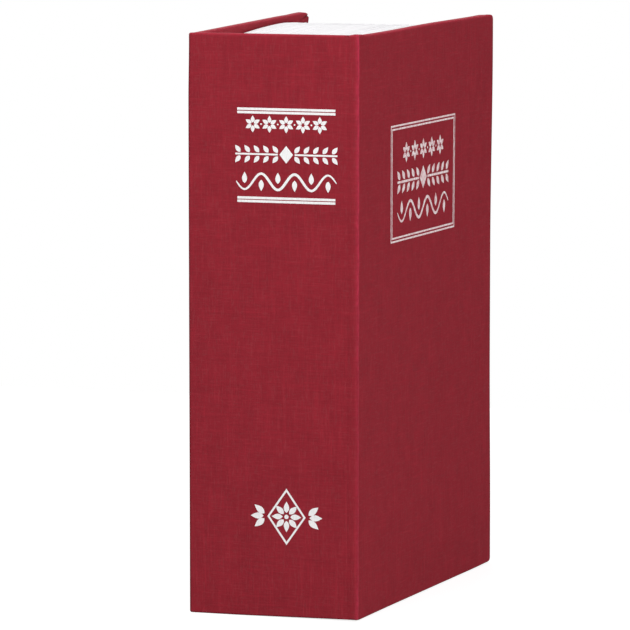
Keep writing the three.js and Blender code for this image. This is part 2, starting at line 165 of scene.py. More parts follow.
class PageSettings(bpy.types.PropertyGroup):
    """Glued block of pages, the endpapers and the bare board."""

    paper: FloatVectorProperty(
        name="Pages", description="Colour of the page edges", subtype="COLOR", default=linear("fbfafc"),
    )
    pitch: FloatProperty(
        name="Leaf pitch", description="Thickness of one drawn leaf, a few real pages", unit="LENGTH",
        default=0.55 * MM,
    )
    wander: FloatProperty(
        name="Wander", description="How far a leaf may stand out of line", unit="LENGTH", default=0.07 * MM,
    )
    seed: IntProperty(name="Seed", description="Seed of the leaves' wander", default=7)
    board: FloatVectorProperty(
        name="Board", description="Colour of the binder's board", subtype="COLOR", default=linear("8f8779"),
    )
    trim: FloatProperty(
        name="Trim", description="How much shorter than in the frame the endpapers are cut at head and tail",
        unit="LENGTH", default=0.6 * MM,
    )


class SafeSettings(bpy.types.PropertyGroup):
    """Painted steel box and lid."""

    paint: FloatVectorProperty(
        name="Paint", description="Colour of the powder coat", subtype="COLOR", default=linear("2b2d30"),
    )
    bend: FloatProperty(
        name="Bend radius", description="Rounding of the drawn outer edges", unit="LENGTH", default=0.9 * MM,
    )


class FittingSettings(bpy.types.PropertyGroup):
    """Hinge, rivets and lock."""

    zinc: FloatVectorProperty(
        name="Zinc", description="Colour of the bright zinc plate", subtype="COLOR", default=linear("c3c6ca"),
    )
    chrome: FloatVectorProperty(
        name="Chrome", description="Colour of the chrome plate", subtype="COLOR", default=linear("dcdee1"),
    )
    edge: FloatProperty(
        name="Edge", description="Broken edge of the stamped and turned fittings", unit="LENGTH",
        default=0.12 * MM,
    )


class StageSettings(bpy.types.PropertyGroup):
    """Camera, floor and lamps."""

    camera_place: FloatVectorProperty(
        name="Camera", description="Where the camera stands", subtype="TRANSLATION", unit="LENGTH",
        default=(0.432149, -1.440797, 0.274167),
    )
    azimuth: FloatProperty(
        name="Azimuth", description="Turn of the view round the object", unit="ROTATION", subtype="ANGLE",
        default=math.radians(17.0519),
    )
    elevation: FloatProperty(
        name="Elevation", description="Height of the view above level", unit="ROTATION", subtype="ANGLE",
        default=math.radians(7.0822),
    )
    lens: FloatProperty(
        name="Lens", description="Focal length in millimetres on a sensor 36 mm wide", default=272.967,
    )
    ambient: FloatProperty(name="Ambient", description="Level of the even light all round", default=0.18)
    front: FloatProperty(
        name="Front", description="Power of the lamp by the spine", unit="POWER", default=2.0,
    )
    side: FloatProperty(
        name="Side", description="Power of the lamp by the front cover", unit="POWER", default=4.0,
    )
    top: FloatProperty(name="Top", description="Power of the lamp overhead", unit="POWER", default=4.2)
    back: FloatProperty(name="Back", description="Power of the lamp behind", unit="POWER", default=2.5)


# Meshes

def new_piece(name, mesh, material):
    """An object at the origin that shows a mesh with one material."""
    mesh.name = name
    mesh.materials.clear()
    mesh.materials.append(material)
    piece = bpy.data.objects.new(name, mesh)
    bpy.context.scene.collection.objects.link(piece)
    return piece


def smoothed(mesh, sharp=CREASE):
    """A mesh drawn smooth but for the edges sharper than an angle."""
    mesh.shade_smooth()
    mesh.set_sharp_from_angle(angle=sharp)
    return mesh


def mesh_from(bm, name, sharp=CREASE):
    """A bmesh as a mesh, smooth but for the edges sharper than an angle."""
    mesh = bpy.data.meshes.new(name)
    bm.to_mesh(mesh)
    bm.free()
    return smoothed(mesh, sharp)


def skin(bm, rings):
    """Faces between each ring of corners and the next."""
    for lower, upper in zip(rings, rings[1:]):
        for index in range(len(lower)):
            after = (index + 1) % len(lower)
            bm.faces.new((lower[index], lower[after], upper[after], upper[index]))


def close_tube(bm, rings):
    """Skins a line of rings and closes both ends."""
    skin(bm, rings)
    bm.faces.new(rings[0][::-1])
    bm.faces.new(rings[-1])
    bmesh.ops.recalc_face_normals(bm, faces=bm.faces)


def settled(piece):
    """The plain mesh that an object's modifiers make."""
    depsgraph = bpy.context.evaluated_depsgraph_get()
    return bpy.data.meshes.new_from_object(piece.evaluated_get(depsgraph))


def discard(piece):
    """Removes a helper object and its mesh."""
    mesh = piece.data
    bpy.data.objects.remove(piece)
    if mesh.users == 0:
        bpy.data.meshes.remove(mesh)


def modified(name, mesh, material, kind, **settings):
    """The plain mesh that one modifier makes of a mesh."""
    holder = new_piece(name, mesh, material)
    modifier = holder.modifiers.new(kind, kind)
    for setting, value in settings.items():
        setattr(modifier, setting, value)
    plain = settled(holder)
    discard(holder)
    return plain


def joined(name, meshes):
    """Several meshes as one, without welding them."""
    bm = bmesh.new()
    for mesh in meshes:
        bm.from_mesh(mesh)
        bpy.data.meshes.remove(mesh)
    return mesh_from(bm, name)


# Node trees

def add_node(tree, kind, inputs=(), output=None, **settings):
    """Adds a node, sets it, and gives each input its value or its link, by its name or its number.

    Gives back the output of a name, or else the first that is in use."""
    node = tree.nodes.new(kind)
    for name, value in settings.items():
        setattr(node, name, value)
    for name, value in dict(inputs).items():
        if isinstance(name, int):
            socket = node.inputs[name]
        else:
            socket = next(one for one in node.inputs if one.enabled and one.name == name)
        if isinstance(value, bpy.types.NodeSocket):
            tree.links.new(value, socket)
        else:
            socket.default_value = value
    if output:
        return node.outputs[output]
    return next((one for one in node.outputs if one.enabled), None)


def new_material(name):
    """A material and its tree, emptied."""
    material = bpy.data.materials.new(name)
    material.use_nodes = True
    material.node_tree.nodes.clear()
    return material


def grain(tree, size, low=None, high=None, detail=2.0):
    """Noise on Object coordinates, its grain given in millimetres along X, Y and Z.

    Where low and high are given, it is spread so that they become 0 and 1."""
    place = add_node(tree, "ShaderNodeTexCoord", output="Object")
    scale = [1 / (length * MM) for length in size]
    mapped = add_node(tree, "ShaderNodeMapping", {"Vector": place, "Scale": scale})
    noise = add_node(tree, "ShaderNodeTexNoise", {"Vector": mapped, "Scale": 1.0, "Detail": detail})
    if low is None:
        return noise
    return add_node(tree, "ShaderNodeMapRange", {"Value": noise, "From Min": low, "From Max": high})


def crossed(tree, thickness, run, operation, low, high, detail=2.0):
    """Upright and level streaks of a thickness and a run in millimetres, joined and then spread."""
    upright = grain(tree, (thickness, thickness, run), detail=detail)
    level = grain(tree, (run, run, thickness), detail=detail)
    both = add_node(tree, "ShaderNodeMath", {0: upright, 1: level}, operation=operation)
    return add_node(tree, "ShaderNodeMapRange", {"Value": both, "From Min": low, "From Max": high})


def shade(colour, share):
    """A colour made lighter or darker by a share."""
    return [*(channel * share for channel in colour), 1.0]


def close_material(material, inputs):
    """Ends a material in one Principled shader with these inputs."""
    shader = add_node(material.node_tree, "ShaderNodeBsdfPrincipled", inputs)
    add_node(material.node_tree, "ShaderNodeOutputMaterial", {"Surface": shader})
    return material


# Finishes

def covering_paper(cover):
    """Dyed paper embossed like book cloth: nearly matt, with uneven threads both ways, paler where it is
    scuffed and with a painted highlight along the joint, and darker with painted shade in its creases and
    along edges."""
    material = new_material("embossed covering paper")
    tree = material.node_tree
    # Real threads lie 0.25 mm apart. They are drawn 0.5 mm apart, so that they show at this size.
    weave = crossed(tree, 0.5, 6.0, "ADD", 0.75, 1.25)
    # Slubs are thicker threads here and there, about 14 mm long.
    slubs = crossed(tree, 1.0, 14.0, "MAXIMUM", 0.56, 0.72)
    cloud = grain(tree, (5, 5, 7), 0.3, 0.7, detail=3.0)
    tone = 0.0
    for pattern, share in ((weave, 0.4), (cloud, 0.3), (slubs, 0.3)):
        tone = add_node(tree, "ShaderNodeMath", {0: pattern, 1: share, 2: tone}, operation="MULTIPLY_ADD")
    colour = add_node(tree, "ShaderNodeMix", {
        "Factor": tone, "A": shade(cover.paper, 0.86), "B": shade(cover.paper, 1.22),
    }, data_type="RGBA")
    # Undyed fibres are 0.05 mm thick. They are drawn 0.4 mm thick, so that they show.
    fibres = crossed(tree, 0.4, 2.4, "MAXIMUM", 0.54, 0.74, detail=1.0)
    fibre_share = add_node(tree, "ShaderNodeMapRange", {"Value": fibres, "To Max": 0.014})
    # The attribute is above 0 where the paper is scuffed, and along the joint's ridge, where a highlight is
    # painted as well. It is below 0 where painted shade darkens creases and edges.
    painted_light_and_wear = add_node(tree, "ShaderNodeAttribute", output="Fac", attribute_name="painted_light_and_wear")
    patches = grain(tree, (1.5, 1.5, 1.5))
    patchy = add_node(tree, "ShaderNodeMapRange", {
        "Value": patches, "From Min": 0.35, "From Max": 0.6, "To Min": 0.5,
    })
    # Paler where the paper is scuffed, and along the joint's ridge as a painted highlight.
    worn_and_highlight = add_node(tree, "ShaderNodeMath", {0: painted_light_and_wear, 1: patchy}, operation="MULTIPLY", use_clamp=True)
    # Painted shade: down to 0.3 of the paper's colour in creases and along edges.
    painted_shade = add_node(tree, "ShaderNodeMapRange", {"Value": painted_light_and_wear, "From Min": 0.0, "From Max": -1.0})
    # Each of these lies over the colour by its own amount: fibres, scuffs with the painted highlight, and
    # painted shade.
    layers = (
        (fibre_share, shade(cover.fibre, 1.0)),
        (worn_and_highlight, shade(cover.worn_and_highlight, 1.0)),
        (painted_shade, shade(cover.paper, 0.3)),
    )
    for amount, over in layers:
        colour = add_node(tree, "ShaderNodeMix", {"Factor": amount, "A": colour, "B": over}, data_type="RGBA")
    return close_material(material, {
        "Base Color": colour, "IOR": 1.5, "Specular IOR Level": 0.12,
        "Roughness": add_node(tree, "ShaderNodeMapRange", {"Value": weave, "To Min": 0.82, "To Max": 0.95}),
        "Normal": add_node(tree, "ShaderNodeBump", {"Height": weave, "Distance": 0.03 * MM, "Strength": 0.7}),
    })


def blocked_foil(name, foil, cover, show_through_and_shade):
    """Hot-blocked pale silver foil: bright, with a soft gloss and the paper's grain pressed into it. Where it
    is thin, the scuffed paper shows through in the grain. On the front cover this share is also painted
    shade, which keeps its foil darker than the spine's."""
    material = new_material(name)
    tree = material.node_tree
    # The paper's threads show through the foil at the same drawn spacing.
    pressed = grain(tree, (0.5, 0.5, 1.5))
    level = add_node(tree, "ShaderNodeMapRange", {"Value": pressed, "From Min": 0.3, "From Max": 0.6})
    colour = add_node(tree, "ShaderNodeMix", {
        "Factor": level, "A": shade(foil.foil, 0.9), "B": shade(foil.foil, 1.0),
    }, data_type="RGBA")
    # Show-through and painted shade: the paper's paler colour fills the grain and darkens the foil.
    bare = add_node(tree, "ShaderNodeMapRange", {
        "Value": pressed, "From Min": 0.3, "From Max": 0.7, "To Min": 2 * show_through_and_shade, "To Max": 0.0,
    })
    colour = add_node(tree, "ShaderNodeMix", {
        "Factor": bare, "A": colour, "B": shade(cover.worn_and_highlight, 1.0),
    }, data_type="RGBA")
    return close_material(material, {
        "Base Color": colour, "Metallic": 0.12, "Roughness": 0.4,
        "Normal": add_node(tree, "ShaderNodeBump", {
            "Height": pressed, "Distance": 0.015 * MM, "Strength": 0.6,
        }),
    })


def page_paper(pages):
    """Uncoated book paper, cut edge on: matt and warm white, with fine grey lines along each leaf."""
    material = new_material("trimmed page edges")
    tree = material.node_tree
    # Real leaves are 0.1 mm thick. Their lines are drawn 0.3 mm wide, so that they show.
    lines = grain(tree, (0.3, 22, 22), 0.3, 0.7)
    stain = grain(tree, (14, 30, 30), 0.35, 0.75)
    tone = add_node(tree, "ShaderNodeMath", {0: lines, 1: stain}, operation="MULTIPLY")
    colour = add_node(tree, "ShaderNodeMix", {
        "Factor": tone, "A": shade(pages.paper, 1.0), "B": shade(pages.paper, 0.9),
    }, data_type="RGBA")
    return close_material(material, {
        "Base Color": colour, "Roughness": 0.9, "Specular IOR Level": 0.2,
        "Normal": add_node(tree, "ShaderNodeBump", {"Height": lines, "Distance": 0.03 * MM, "Strength": 0.6}),
    })


def pulp(name, colour, size, noise, shades, roughness, relief, strength):
    """A matt sheet of pressed pulp, speckled from one shade of its colour to another, with a fine relief.

    size is the speckles' grain in millimetres, and noise the levels that take the first and last shade."""
    material = new_material(name)
    tree = material.node_tree
    specks = grain(tree, size, *noise, detail=4.0)
    speckled = add_node(tree, "ShaderNodeMix", {
        "Factor": specks, "A": shade(colour, shades[0]), "B": shade(colour, shades[1]),
    }, data_type="RGBA")
    return close_material(material, {
        "Base Color": speckled, "Roughness": roughness, "Specular IOR Level": 0.2,
        "Normal": add_node(tree, "ShaderNodeBump", {
            "Height": specks, "Distance": relief, "Strength": strength,
        }),
    })


def endpaper(pages):
    """Heavier uncoated paper, pasted down: matt off-white with faint fibres."""
    # Fibres are about 0.05 mm thick. They are drawn at 0.4 mm, so that they show.
    size = (0.4, 0.4, 1.6)
    relief = 0.02 * MM
    return pulp("uncoated endpaper", pages.paper, size, (0.35, 0.65), (0.93, 1.0), 0.88, relief, 0.5)


def greyboard(pages):
    """Pressed waste paper: dull grey-brown with darker flecks."""
    # Flecks of waste paper are up to 1 mm across and are drawn at their real size.
    size = (0.8, 0.8, 0.8)
    relief = 0.05 * MM
    return pulp("pressed greyboard", pages.board, size, (0.4, 0.7), (0.8, 1.1), 0.95, relief, 0.6)


def powder_coat(safe):
    """Black powder coat baked on steel: a half gloss with the soft pimples of orange peel."""
    material = new_material("black powder coat")
    tree = material.node_tree
    # Orange peel is about 0.8 mm from pimple to pimple, drawn at its real size.
    peel = grain(tree, (0.8, 0.8, 0.8), detail=1.0)
    dust = grain(tree, (2.5, 2.5, 2.5), 0.35, 0.7, detail=3.0)
    colour = add_node(tree, "ShaderNodeMix", {
        "Factor": dust, "A": shade(safe.paint, 0.92), "B": shade(safe.paint, 1.1),
    }, data_type="RGBA")
    return close_material(material, {
        "Base Color": colour,
        "Roughness": add_node(tree, "ShaderNodeMapRange", {"Value": dust, "To Min": 0.4, "To Max": 0.46}),
        "Normal": add_node(tree, "ShaderNodeBump", {"Height": peel, "Distance": 0.02 * MM, "Strength": 0.8}),
    })


def zinc_plate(fittings):
    """Bright zinc on stamped steel: silvery, faintly mottled, with drawn lines along the strip."""
    material = new_material("bright zinc plate")
    tree = material.node_tree
    # Drawing lines are a few hundredths apart. They are drawn 0.25 mm apart, so that they show.
    drawn = grain(tree, (0.25, 0.25, 9))
    mottle = grain(tree, (2.5, 2.5, 2.5), 0.3, 0.7, detail=3.0)
    colour = add_node(tree, "ShaderNodeMix", {
        "Factor": mottle, "A": shade(fittings.zinc, 0.88), "B": shade(fittings.zinc, 1.0),
    }, data_type="RGBA")
    return close_material(material, {
        "Base Color": colour, "Metallic": 1.0,
        "Roughness": add_node(tree, "ShaderNodeMapRange", {
            "Value": drawn, "From Min": 0.3, "From Max": 0.7, "To Min": 0.26, "To Max": 0.4,
        }),
        "Normal": add_node(tree, "ShaderNodeBump", {
            "Height": drawn, "Distance": 0.006 * MM, "Strength": 0.5,
        }),
    })


def chrome_plate(fittings):
    """Chrome on turned and polished zinc: a near mirror with a faint haze."""
    material = new_material("polished chrome plate")
    tree = material.node_tree
    # The haze is in soft patches a millimetre or two across, drawn at their real size.
    haze = grain(tree, (1.5, 1.5, 1.5), detail=3.0)
    return close_material(material, {
        "Base Color": shade(fittings.chrome, 1.0), "Metallic": 1.0,
        "Roughness": add_node(tree, "ShaderNodeMapRange", {
            "Value": haze, "From Min": 0.3, "From Max": 0.7, "To Min": 0.08, "To Max": 0.16,
        }),
        "Normal": add_node(tree, "ShaderNodeBump", {"Height": haze, "Distance": 0.002 * MM, "Strength": 0.4}),
    })


def plated_zinc(fittings):
    """The zinc finish, made the first time that it is asked for."""
    return bpy.data.materials.get("bright zinc plate") or zinc_plate(fittings)


# Repeats

def repeat_tree(name, sockets):
    """An empty geometry tree with named inputs and one geometry output."""
    tree = bpy.data.node_groups.new(name, "GeometryNodeTree")
    for label, kind in sockets.items():
        tree.interface.new_socket(label, in_out="INPUT", socket_type=f"NodeSocket{kind}")
    tree.interface.new_socket("Geometry", in_out="OUTPUT", socket_type="NodeSocketGeometry")
    return tree


def close_repeat(tree, given, points, angle):
    """Sets the motif on the points, each turned by its angle, makes it real and gives it its finish."""
    placed = add_node(tree, "GeometryNodeInstanceOnPoints", {
        "Points": points,
        "Instance": add_node(tree, "GeometryNodeObjectInfo", {"Object": given["Motif"]}, output="Geometry"),
        "Rotation": add_node(tree, "ShaderNodeCombineXYZ", {"Z": angle}),
    })
    real = add_node(tree, "GeometryNodeRealizeInstances", {"Geometry": placed})
    faced = add_node(tree, "GeometryNodeSetMaterial", {"Geometry": real, "Material": given["Finish"]})
    add_node(tree, "NodeGroupOutput", {"Geometry": faced})


def row_tree(name):
    """A row of one motif, centred on the origin, each a step from the last and a little out of line."""
    tree = repeat_tree(name, {
        "Motif": "Object", "Count": "Int", "Step": "Vector", "Turn": "Float", "Alternate turn": "Float",
        "Wander": "Vector", "Seed": "Int", "Finish": "Material",
    })
    given = tree.nodes.new("NodeGroupInput").outputs
    gaps = add_node(tree, "ShaderNodeMath", {0: given["Count"], 1: 1.0}, operation="SUBTRACT")
    half = add_node(tree, "ShaderNodeMath", {0: gaps, 1: -0.5}, operation="MULTIPLY")
    start = add_node(tree, "ShaderNodeVectorMath", {0: given["Step"], "Scale": half}, operation="SCALE")
    line = add_node(tree, "GeometryNodeMeshLine", {
        "Count": given["Count"], "Start Location": start, "Offset": given["Step"],
    }, mode="OFFSET")
    back = add_node(tree, "ShaderNodeVectorMath", {0: given["Wander"], "Scale": -1.0}, operation="SCALE")
    drift = add_node(tree, "FunctionNodeRandomValue", {
        "Min": back, "Max": given["Wander"], "Seed": given["Seed"],
    }, data_type="FLOAT_VECTOR")
    moved = add_node(tree, "GeometryNodeSetPosition", {"Geometry": line, "Offset": drift})
    index = add_node(tree, "GeometryNodeInputIndex")
    odd = add_node(tree, "ShaderNodeMath", {0: index, 1: 2.0}, operation="MODULO")
    angle = add_node(tree, "ShaderNodeMath", {
        0: odd, 1: given["Alternate turn"], 2: given["Turn"],
    }, operation="MULTIPLY_ADD")
    close_repeat(tree, given, moved, angle)
    return tree


def ring_tree(name):
    """A ring of one motif, each pointing outwards."""
    tree = repeat_tree(name, {
        "Motif": "Object", "Count": "Int", "Radius": "Float", "Finish": "Material",
    })
    given = tree.nodes.new("NodeGroupInput").outputs
    circle = add_node(tree, "GeometryNodeMeshCircle", {"Vertices": given["Count"], "Radius": given["Radius"]})
    index = add_node(tree, "GeometryNodeInputIndex")
    share = add_node(tree, "ShaderNodeMath", {0: index, 1: given["Count"]}, operation="DIVIDE")
    angle = add_node(tree, "ShaderNodeMath", {0: share, 1: math.tau}, operation="MULTIPLY")
    close_repeat(tree, given, circle, angle)
    return tree


def repeated(name, make_tree, motif, values):
    """The plain mesh that a tree makes of a motif. The tree is made the first time, and its inputs are set
    by their identifiers."""
    holder = new_piece("repeat_holder", bpy.data.meshes.new("repeat_holder"), values["Finish"])
    helper = new_piece("repeat_motif", motif, values["Finish"])
    modifier = holder.modifiers.new("Repeat", "NODES")
    modifier.node_group = bpy.data.node_groups.get(name) or make_tree(name)
    for item in modifier.node_group.interface.items_tree:
        if item.in_out == "INPUT":
            modifier[item.identifier] = helper if item.name == "Motif" else values[item.name]
    mesh = settled(holder)
    discard(holder)
    discard(helper)
    return mesh


def row(motif, material, count, step, turn=0.0, alternate=0.0, wander=(0, 0, 0), seed=0):
    """A row of a motif."""
    return repeated("Row of motifs", row_tree, motif, {
        "Count": count, "Step": step, "Turn": turn, "Alternate turn": alternate, "Wander": wander,
        "Seed": seed, "Finish": material,
    })


def ring(motif, material, count, radius):
    """A ring of a motif."""
    return repeated("Ring of motifs", ring_tree, motif, {
        "Count": count, "Radius": radius, "Finish": material,
    })


# Covering paper

def edge_lines(length, edge, step):
    """Places along a side: close over each rounded edge and about a step apart between."""
    edge_steps = 5
    near = [edge * share / edge_steps for share in range(edge_steps)]
    count = max(1, round((length - 2 * edge) / step))
    middle = [edge + (length - 2 * edge) * share / count for share in range(count + 1)]
    return near + middle + [length - place for place in reversed(near)]


def cluster(centre, half, count):
    """Extra places on both sides of a crease."""
    return [centre + half * share / count for share in range(-count, count + 1)]


def disc(first, second):
    """Moves a point of a square round the origin to the like place in a disc."""
    length = math.hypot(first, second)
    if length == 0:
        return first, second
    share = max(abs(first), abs(second)) / length
    return first * share, second * share


class Panel:
    """A flat cover panel: depth from its inner face, then across from its spine side, then up.

    near_side is the place across where the paper is closed at its spine side."""

    def __init__(self, width, fore_corner, cover, near_side=0.0):
        self.size = (COVER_THICKNESS, width, COVER_HEIGHT)
        self.edge = cover.edge
        self.fore_corner = fore_corner
        self.turn_in = cover.turn_in
        self.near_side = near_side

    def rounded(self, depth, across, up):
        """A point of the plain block moved to the panel with its edges and corners rounded."""
        thick, width, height = self.size
        inset = min(across, width - across, up, height - up)
        inner_inset = max(inset, self.edge)
        inner_depth = min(max(depth, self.edge), thick - self.edge)
        reach = math.hypot(inset - inner_inset, depth - inner_depth)
        if reach > 0:
            depth = inner_depth + (depth - inner_depth) / reach * self.edge
            inset = inner_inset + (inset - inner_inset) / reach * self.edge
        across = min(max(across, inset), width - inset)
        up = min(max(up, inset), height - inset)
        radius = self.fore_corner if across > width / 2 else self.edge
        centre_across = min(max(across, radius), width - radius)
        centre_up = min(max(up, radius), height - radius)
        if centre_across != across and centre_up != up:
            off_across, off_up = disc(across - centre_across, up - centre_up)
            across = centre_across + off_across
            up = centre_up + off_up
        return depth, across, up

    def depth_lines(self):
        """The grid's places through the panel."""
        steps = 6
        thick = self.size[0]
        return edge_lines(thick, self.edge, thick / steps)

    def across_lines(self, middle, reach, count):
        """The grid's places across the panel, closer together at its fore-edge and round a middle."""
        step = 2.5 * MM
        fore_place, fore_reach, fore_count = 7 * MM, 6 * MM, 8
        width = self.size[1]
        lines = edge_lines(width, self.edge, step) + cluster(width - fore_place, fore_reach, fore_count)
        if self.near_side:
            # A place just past the near side would crowd the one that lies on it.
            clear = 0.2 * MM
            lines = [place for place in lines if place > self.near_side + clear] + [self.near_side]
        return sorted(lines + cluster(middle, reach, count) + [width - self.turn_in])

    def up_lines(self):
        """The grid's heights, closer together at the creases of the folded corners."""
        step = 2.4 * MM
        crease_place, crease_reach, crease_count = 3 * MM, 2.2 * MM, 6
        height = self.size[2]
        lines = edge_lines(height, self.edge, step) + [self.turn_in, height - self.turn_in]
        for middle in (crease_place, height - crease_place):
            lines += cluster(middle, crease_reach, crease_count)
        return sorted(lines)


def wrapped_panel(name, panel, across_lines, shape, mirrored, sheet, material):
    """A sheet of paper wrapped round a panel and turned in on three sides, then given its thickness.

    shape moves a rounded point to its place and gives its scuffing and painted highlight above 0 and its
    painted shade below 0. Where it turns the panel inside out, mirrored keeps the faces outwards."""
    thick, width, height = panel.size
    turn_in = panel.turn_in
    depth_lines = panel.depth_lines()
    up_lines = panel.up_lines()
    bm = bmesh.new()
    # Each corner carries its scuffing and painted highlight above 0 and its painted shade below 0.
    painted_light_and_wear = bm.verts.layers.float.new("painted_light_and_wear")
    made = {}

    def vertex(*point):
        """The corner at a point of the plain block, made the first time."""
        key = tuple(round(value / MM, 4) for value in point)
        if key not in made:
            place, wear_shade_and_highlight = shape(*panel.rounded(*point))
            made[key] = bm.verts.new(place)
            made[key][painted_light_and_wear] = wear_shade_and_highlight
        return made[key]

    def side(fixed, value, first_lines, second_lines, outward, wanted=None):
        """One side of the block as a grid, with one of depth, across and up fixed at a value."""
        for first in zip(first_lines, first_lines[1:]):
            for second in zip(second_lines, second_lines[1:]):
                if wanted and not wanted(sum(first) / 2, sum(second) / 2):
                    continue
                loop = []
                for one, other in ((0, 0), (1, 0), (1, 1), (0, 1)):
                    point = [first[one], second[other]]
                    point.insert(fixed, value)
                    loop.append(vertex(*point))
                if len(set(loop)) < 4:
                    continue
                if outward == mirrored:
                    loop.reverse()
                bm.faces.new(loop)

    def on_turn_in(across, up):
        return across > width - turn_in or up < turn_in or up > height - turn_in

    side(0, thick, across_lines, up_lines, True)
    side(0, 0.0, across_lines, up_lines, False, on_turn_in)
    side(2, height, depth_lines, across_lines, True)
    side(2, 0.0, depth_lines, across_lines, False)
    side(1, width, depth_lines, up_lines, False)
    side(1, panel.near_side, depth_lines, up_lines, True)
    same = 0.001 * MM
    bmesh.ops.remove_doubles(bm, verts=bm.verts, dist=same)
    bmesh.ops.dissolve_degenerate(bm, edges=bm.edges, dist=same)
    plain = modified(name, mesh_from(bm, name), material, "SOLIDIFY", thickness=sheet, offset=-1)
    return new_piece(name, smoothed(plain), material)


def bulge(distance, reach):
    """A soft hump, 1 at no distance and near 0 past its reach."""
    return math.exp(-((distance / reach) ** 2))


def ramp(value, low, high):
    """A smooth rise from 0 at one place to 1 at another."""
    share = min(max((value - low) / (high - low), 0.0), 1.0)
    return share * share * (3 - 2 * share)


def stepped(up, start, *changes):
    """A value that changes up the cover: where it starts, then each change as its amount and the heights
    in millimetres that it runs between."""
    return start + sum(amount * ramp(up, low * MM, high * MM) for amount, low, high in changes)


def joint_wear_and_highlight(up):
    """How pale the ridge along the joint is painted, as scuffing and a painted highlight: most at its head,
    least low down, and a little at its tail.
    """
    return stepped(up, 0.8, (-0.35, 5, 14), (0.45, 70, 100), (0.2, 135, 160), (0.2, 168, 177))


class FoldedPaper:
    """How the paper lies on a panel: uneven head and tail, thick folded corners, a ridge along the joint.

    head_dip and tail_lift say how far the edges fall short, from the place across and from the fore-edge."""

    edge_reach = 3 * MM
    # The corners are folded under: a swelling on the inner face with a slanting crease.
    swell = 0.75 * MM
    swell_place = 3 * MM
    swell_reach = 8 * MM
    swell_height = 4.5 * MM
    end_fall = 0.5 * MM
    end_reach = 2.5 * MM
    crease_depth = 0.45 * MM
    crease_width = 0.4 * MM
    crease_length = 8 * MM
    crease_start = 0.6 * MM
    crease_slope = 0.2
    # The side towards the spine rolls off to the ridge, and a faint groove runs behind it.
    side_droop = 0.3 * MM
    droop_reach = 2.2 * MM
    groove_depth = 0.1 * MM
    groove_place = 2.6 * MM
    groove_reach = 0.5 * MM
    # The ridge wavers in two waves, each with its height, length and start. It is wider than it is deep.
    ridge_waves = ((0.12 * MM, 3.1 * MM, 0), (0.1 * MM, 1.3 * MM, 1))
    ridge_across = 0.6
    ridge_deep = 1.3
    ridge_place = 0.75 * MM
    ridge_reach = 0.6 * MM
    ridge_rise = 0.15 * MM
    nib = 0.3 * MM
    nib_reach = 0.7 * MM
    side_lift = 0.45 * MM
    side_lift_reach = 1.8 * MM
    # How pale the paper is scuffed at its head and corners, how dark the painted shade at the fore-edge is,
    # and how far in.
    head_rub, head_rub_reach = 0.2, 0.6 * MM
    corner_rub, corner_rub_reach = 0.3, 3 * MM
    fore_shade, fore_shade_reach = 0.8, 0.55 * MM

    def __init__(self, width, head_dip, tail_lift, ridge=False):
        self.width = width
        self.head_dip = head_dip
        self.tail_lift = tail_lift
        self.ridge = ridge

    def __call__(self, depth, across, up):
        """A rounded point of the panel with the paper's unevenness, and one value for its scuffing and
        painted highlight above 0 and its painted shade below 0.
        """
        thick = COVER_THICKNESS
        from_fore = self.width - across
        from_head = COVER_HEIGHT - up
        from_tail = up
        dip = self.head_dip(across, from_fore)
        lift = self.tail_lift(across, from_fore)
        ridge = 0.0
        if self.ridge:
            waver = sum(height * math.sin(up / length + start) for height, length, start in self.ridge_waves)
            from_ridge = math.hypot(
                self.ridge_across * across - self.ridge_place + waver, self.ridge_deep * (thick - depth),
            )
            ridge = bulge(from_ridge, self.ridge_reach)
            dip -= self.nib * bulge(from_ridge, self.nib_reach)
            lift += self.side_lift * bulge(across, self.side_lift_reach)
        inner = max(0.0, 1 - depth / (thick / 2))
        dip += self.end_fall * inner * bulge(from_fore, self.end_reach)
        up += lift * bulge(from_tail, self.edge_reach) - dip * bulge(from_head, self.edge_reach)
        # Painted shade in the slanting creases of the folded corners.
        painted_crease_shade = 0.0
        for from_end in (from_head, from_tail):
            lump = bulge(from_fore - self.swell_place, self.swell_reach) * bulge(from_end, self.swell_height)
            line = from_end - self.crease_start - self.crease_slope * from_fore
            crease = inner * bulge(line, self.crease_width) * bulge(from_fore, self.crease_length)
            depth -= inner * self.swell * lump - self.crease_depth * crease
            painted_crease_shade = max(painted_crease_shade, crease)
        if self.ridge:
            roll = max(0.0, 1 - (thick - depth) / self.droop_reach) ** 2
            near = max(0.0, 1 - across / self.groove_place)
            depth += self.ridge_rise * ridge
            if depth > thick / 2:
                depth -= self.groove_depth * bulge(across - self.groove_place, self.groove_reach)
            across += self.side_droop * roll * near
            # The ridge's paleness is scuffing and a painted highlight, brighter near the head.
            ridge *= joint_wear_and_highlight(up)
        from_corner = math.hypot(from_fore, min(from_head, from_tail))
        wear_shade_and_highlight = max(
            self.head_rub * bulge(from_head, self.head_rub_reach),
            self.corner_rub * bulge(from_corner, self.corner_rub_reach), ridge,
        )
        # Painted shade along the fore-edge.
        wear_shade_and_highlight -= self.fore_shade * bulge(from_fore, self.fore_shade_reach)
        # Scuffing and the painted highlight come out above 0, painted shade below 0.
        return depth, across, up, wear_shade_and_highlight - painted_crease_shade * (1 + wear_shade_and_highlight)


def cover_matrix(cover):
    """Places the front panel: depth, across and up become the frame's X, Y and Z."""
    place = Matrix.Translation((COVER_PIVOT.x, COVER_PIVOT.y, 0))
    return place @ Matrix.Rotation(-cover.ajar, 4, "Z")


def fore_swell(depth, across, up):
    """How far the front cover's outer face stands out towards its fore-edge: the paper turned over at head
    and tail makes it thicker there, and between them it is drawn in."""
    swell = stepped(up, 0.16, (-0.38, 15, 70), (0.61, 105, 170)) * MM
    return swell * (across / COVER_WIDTH) ** 2 * depth / COVER_THICKNESS


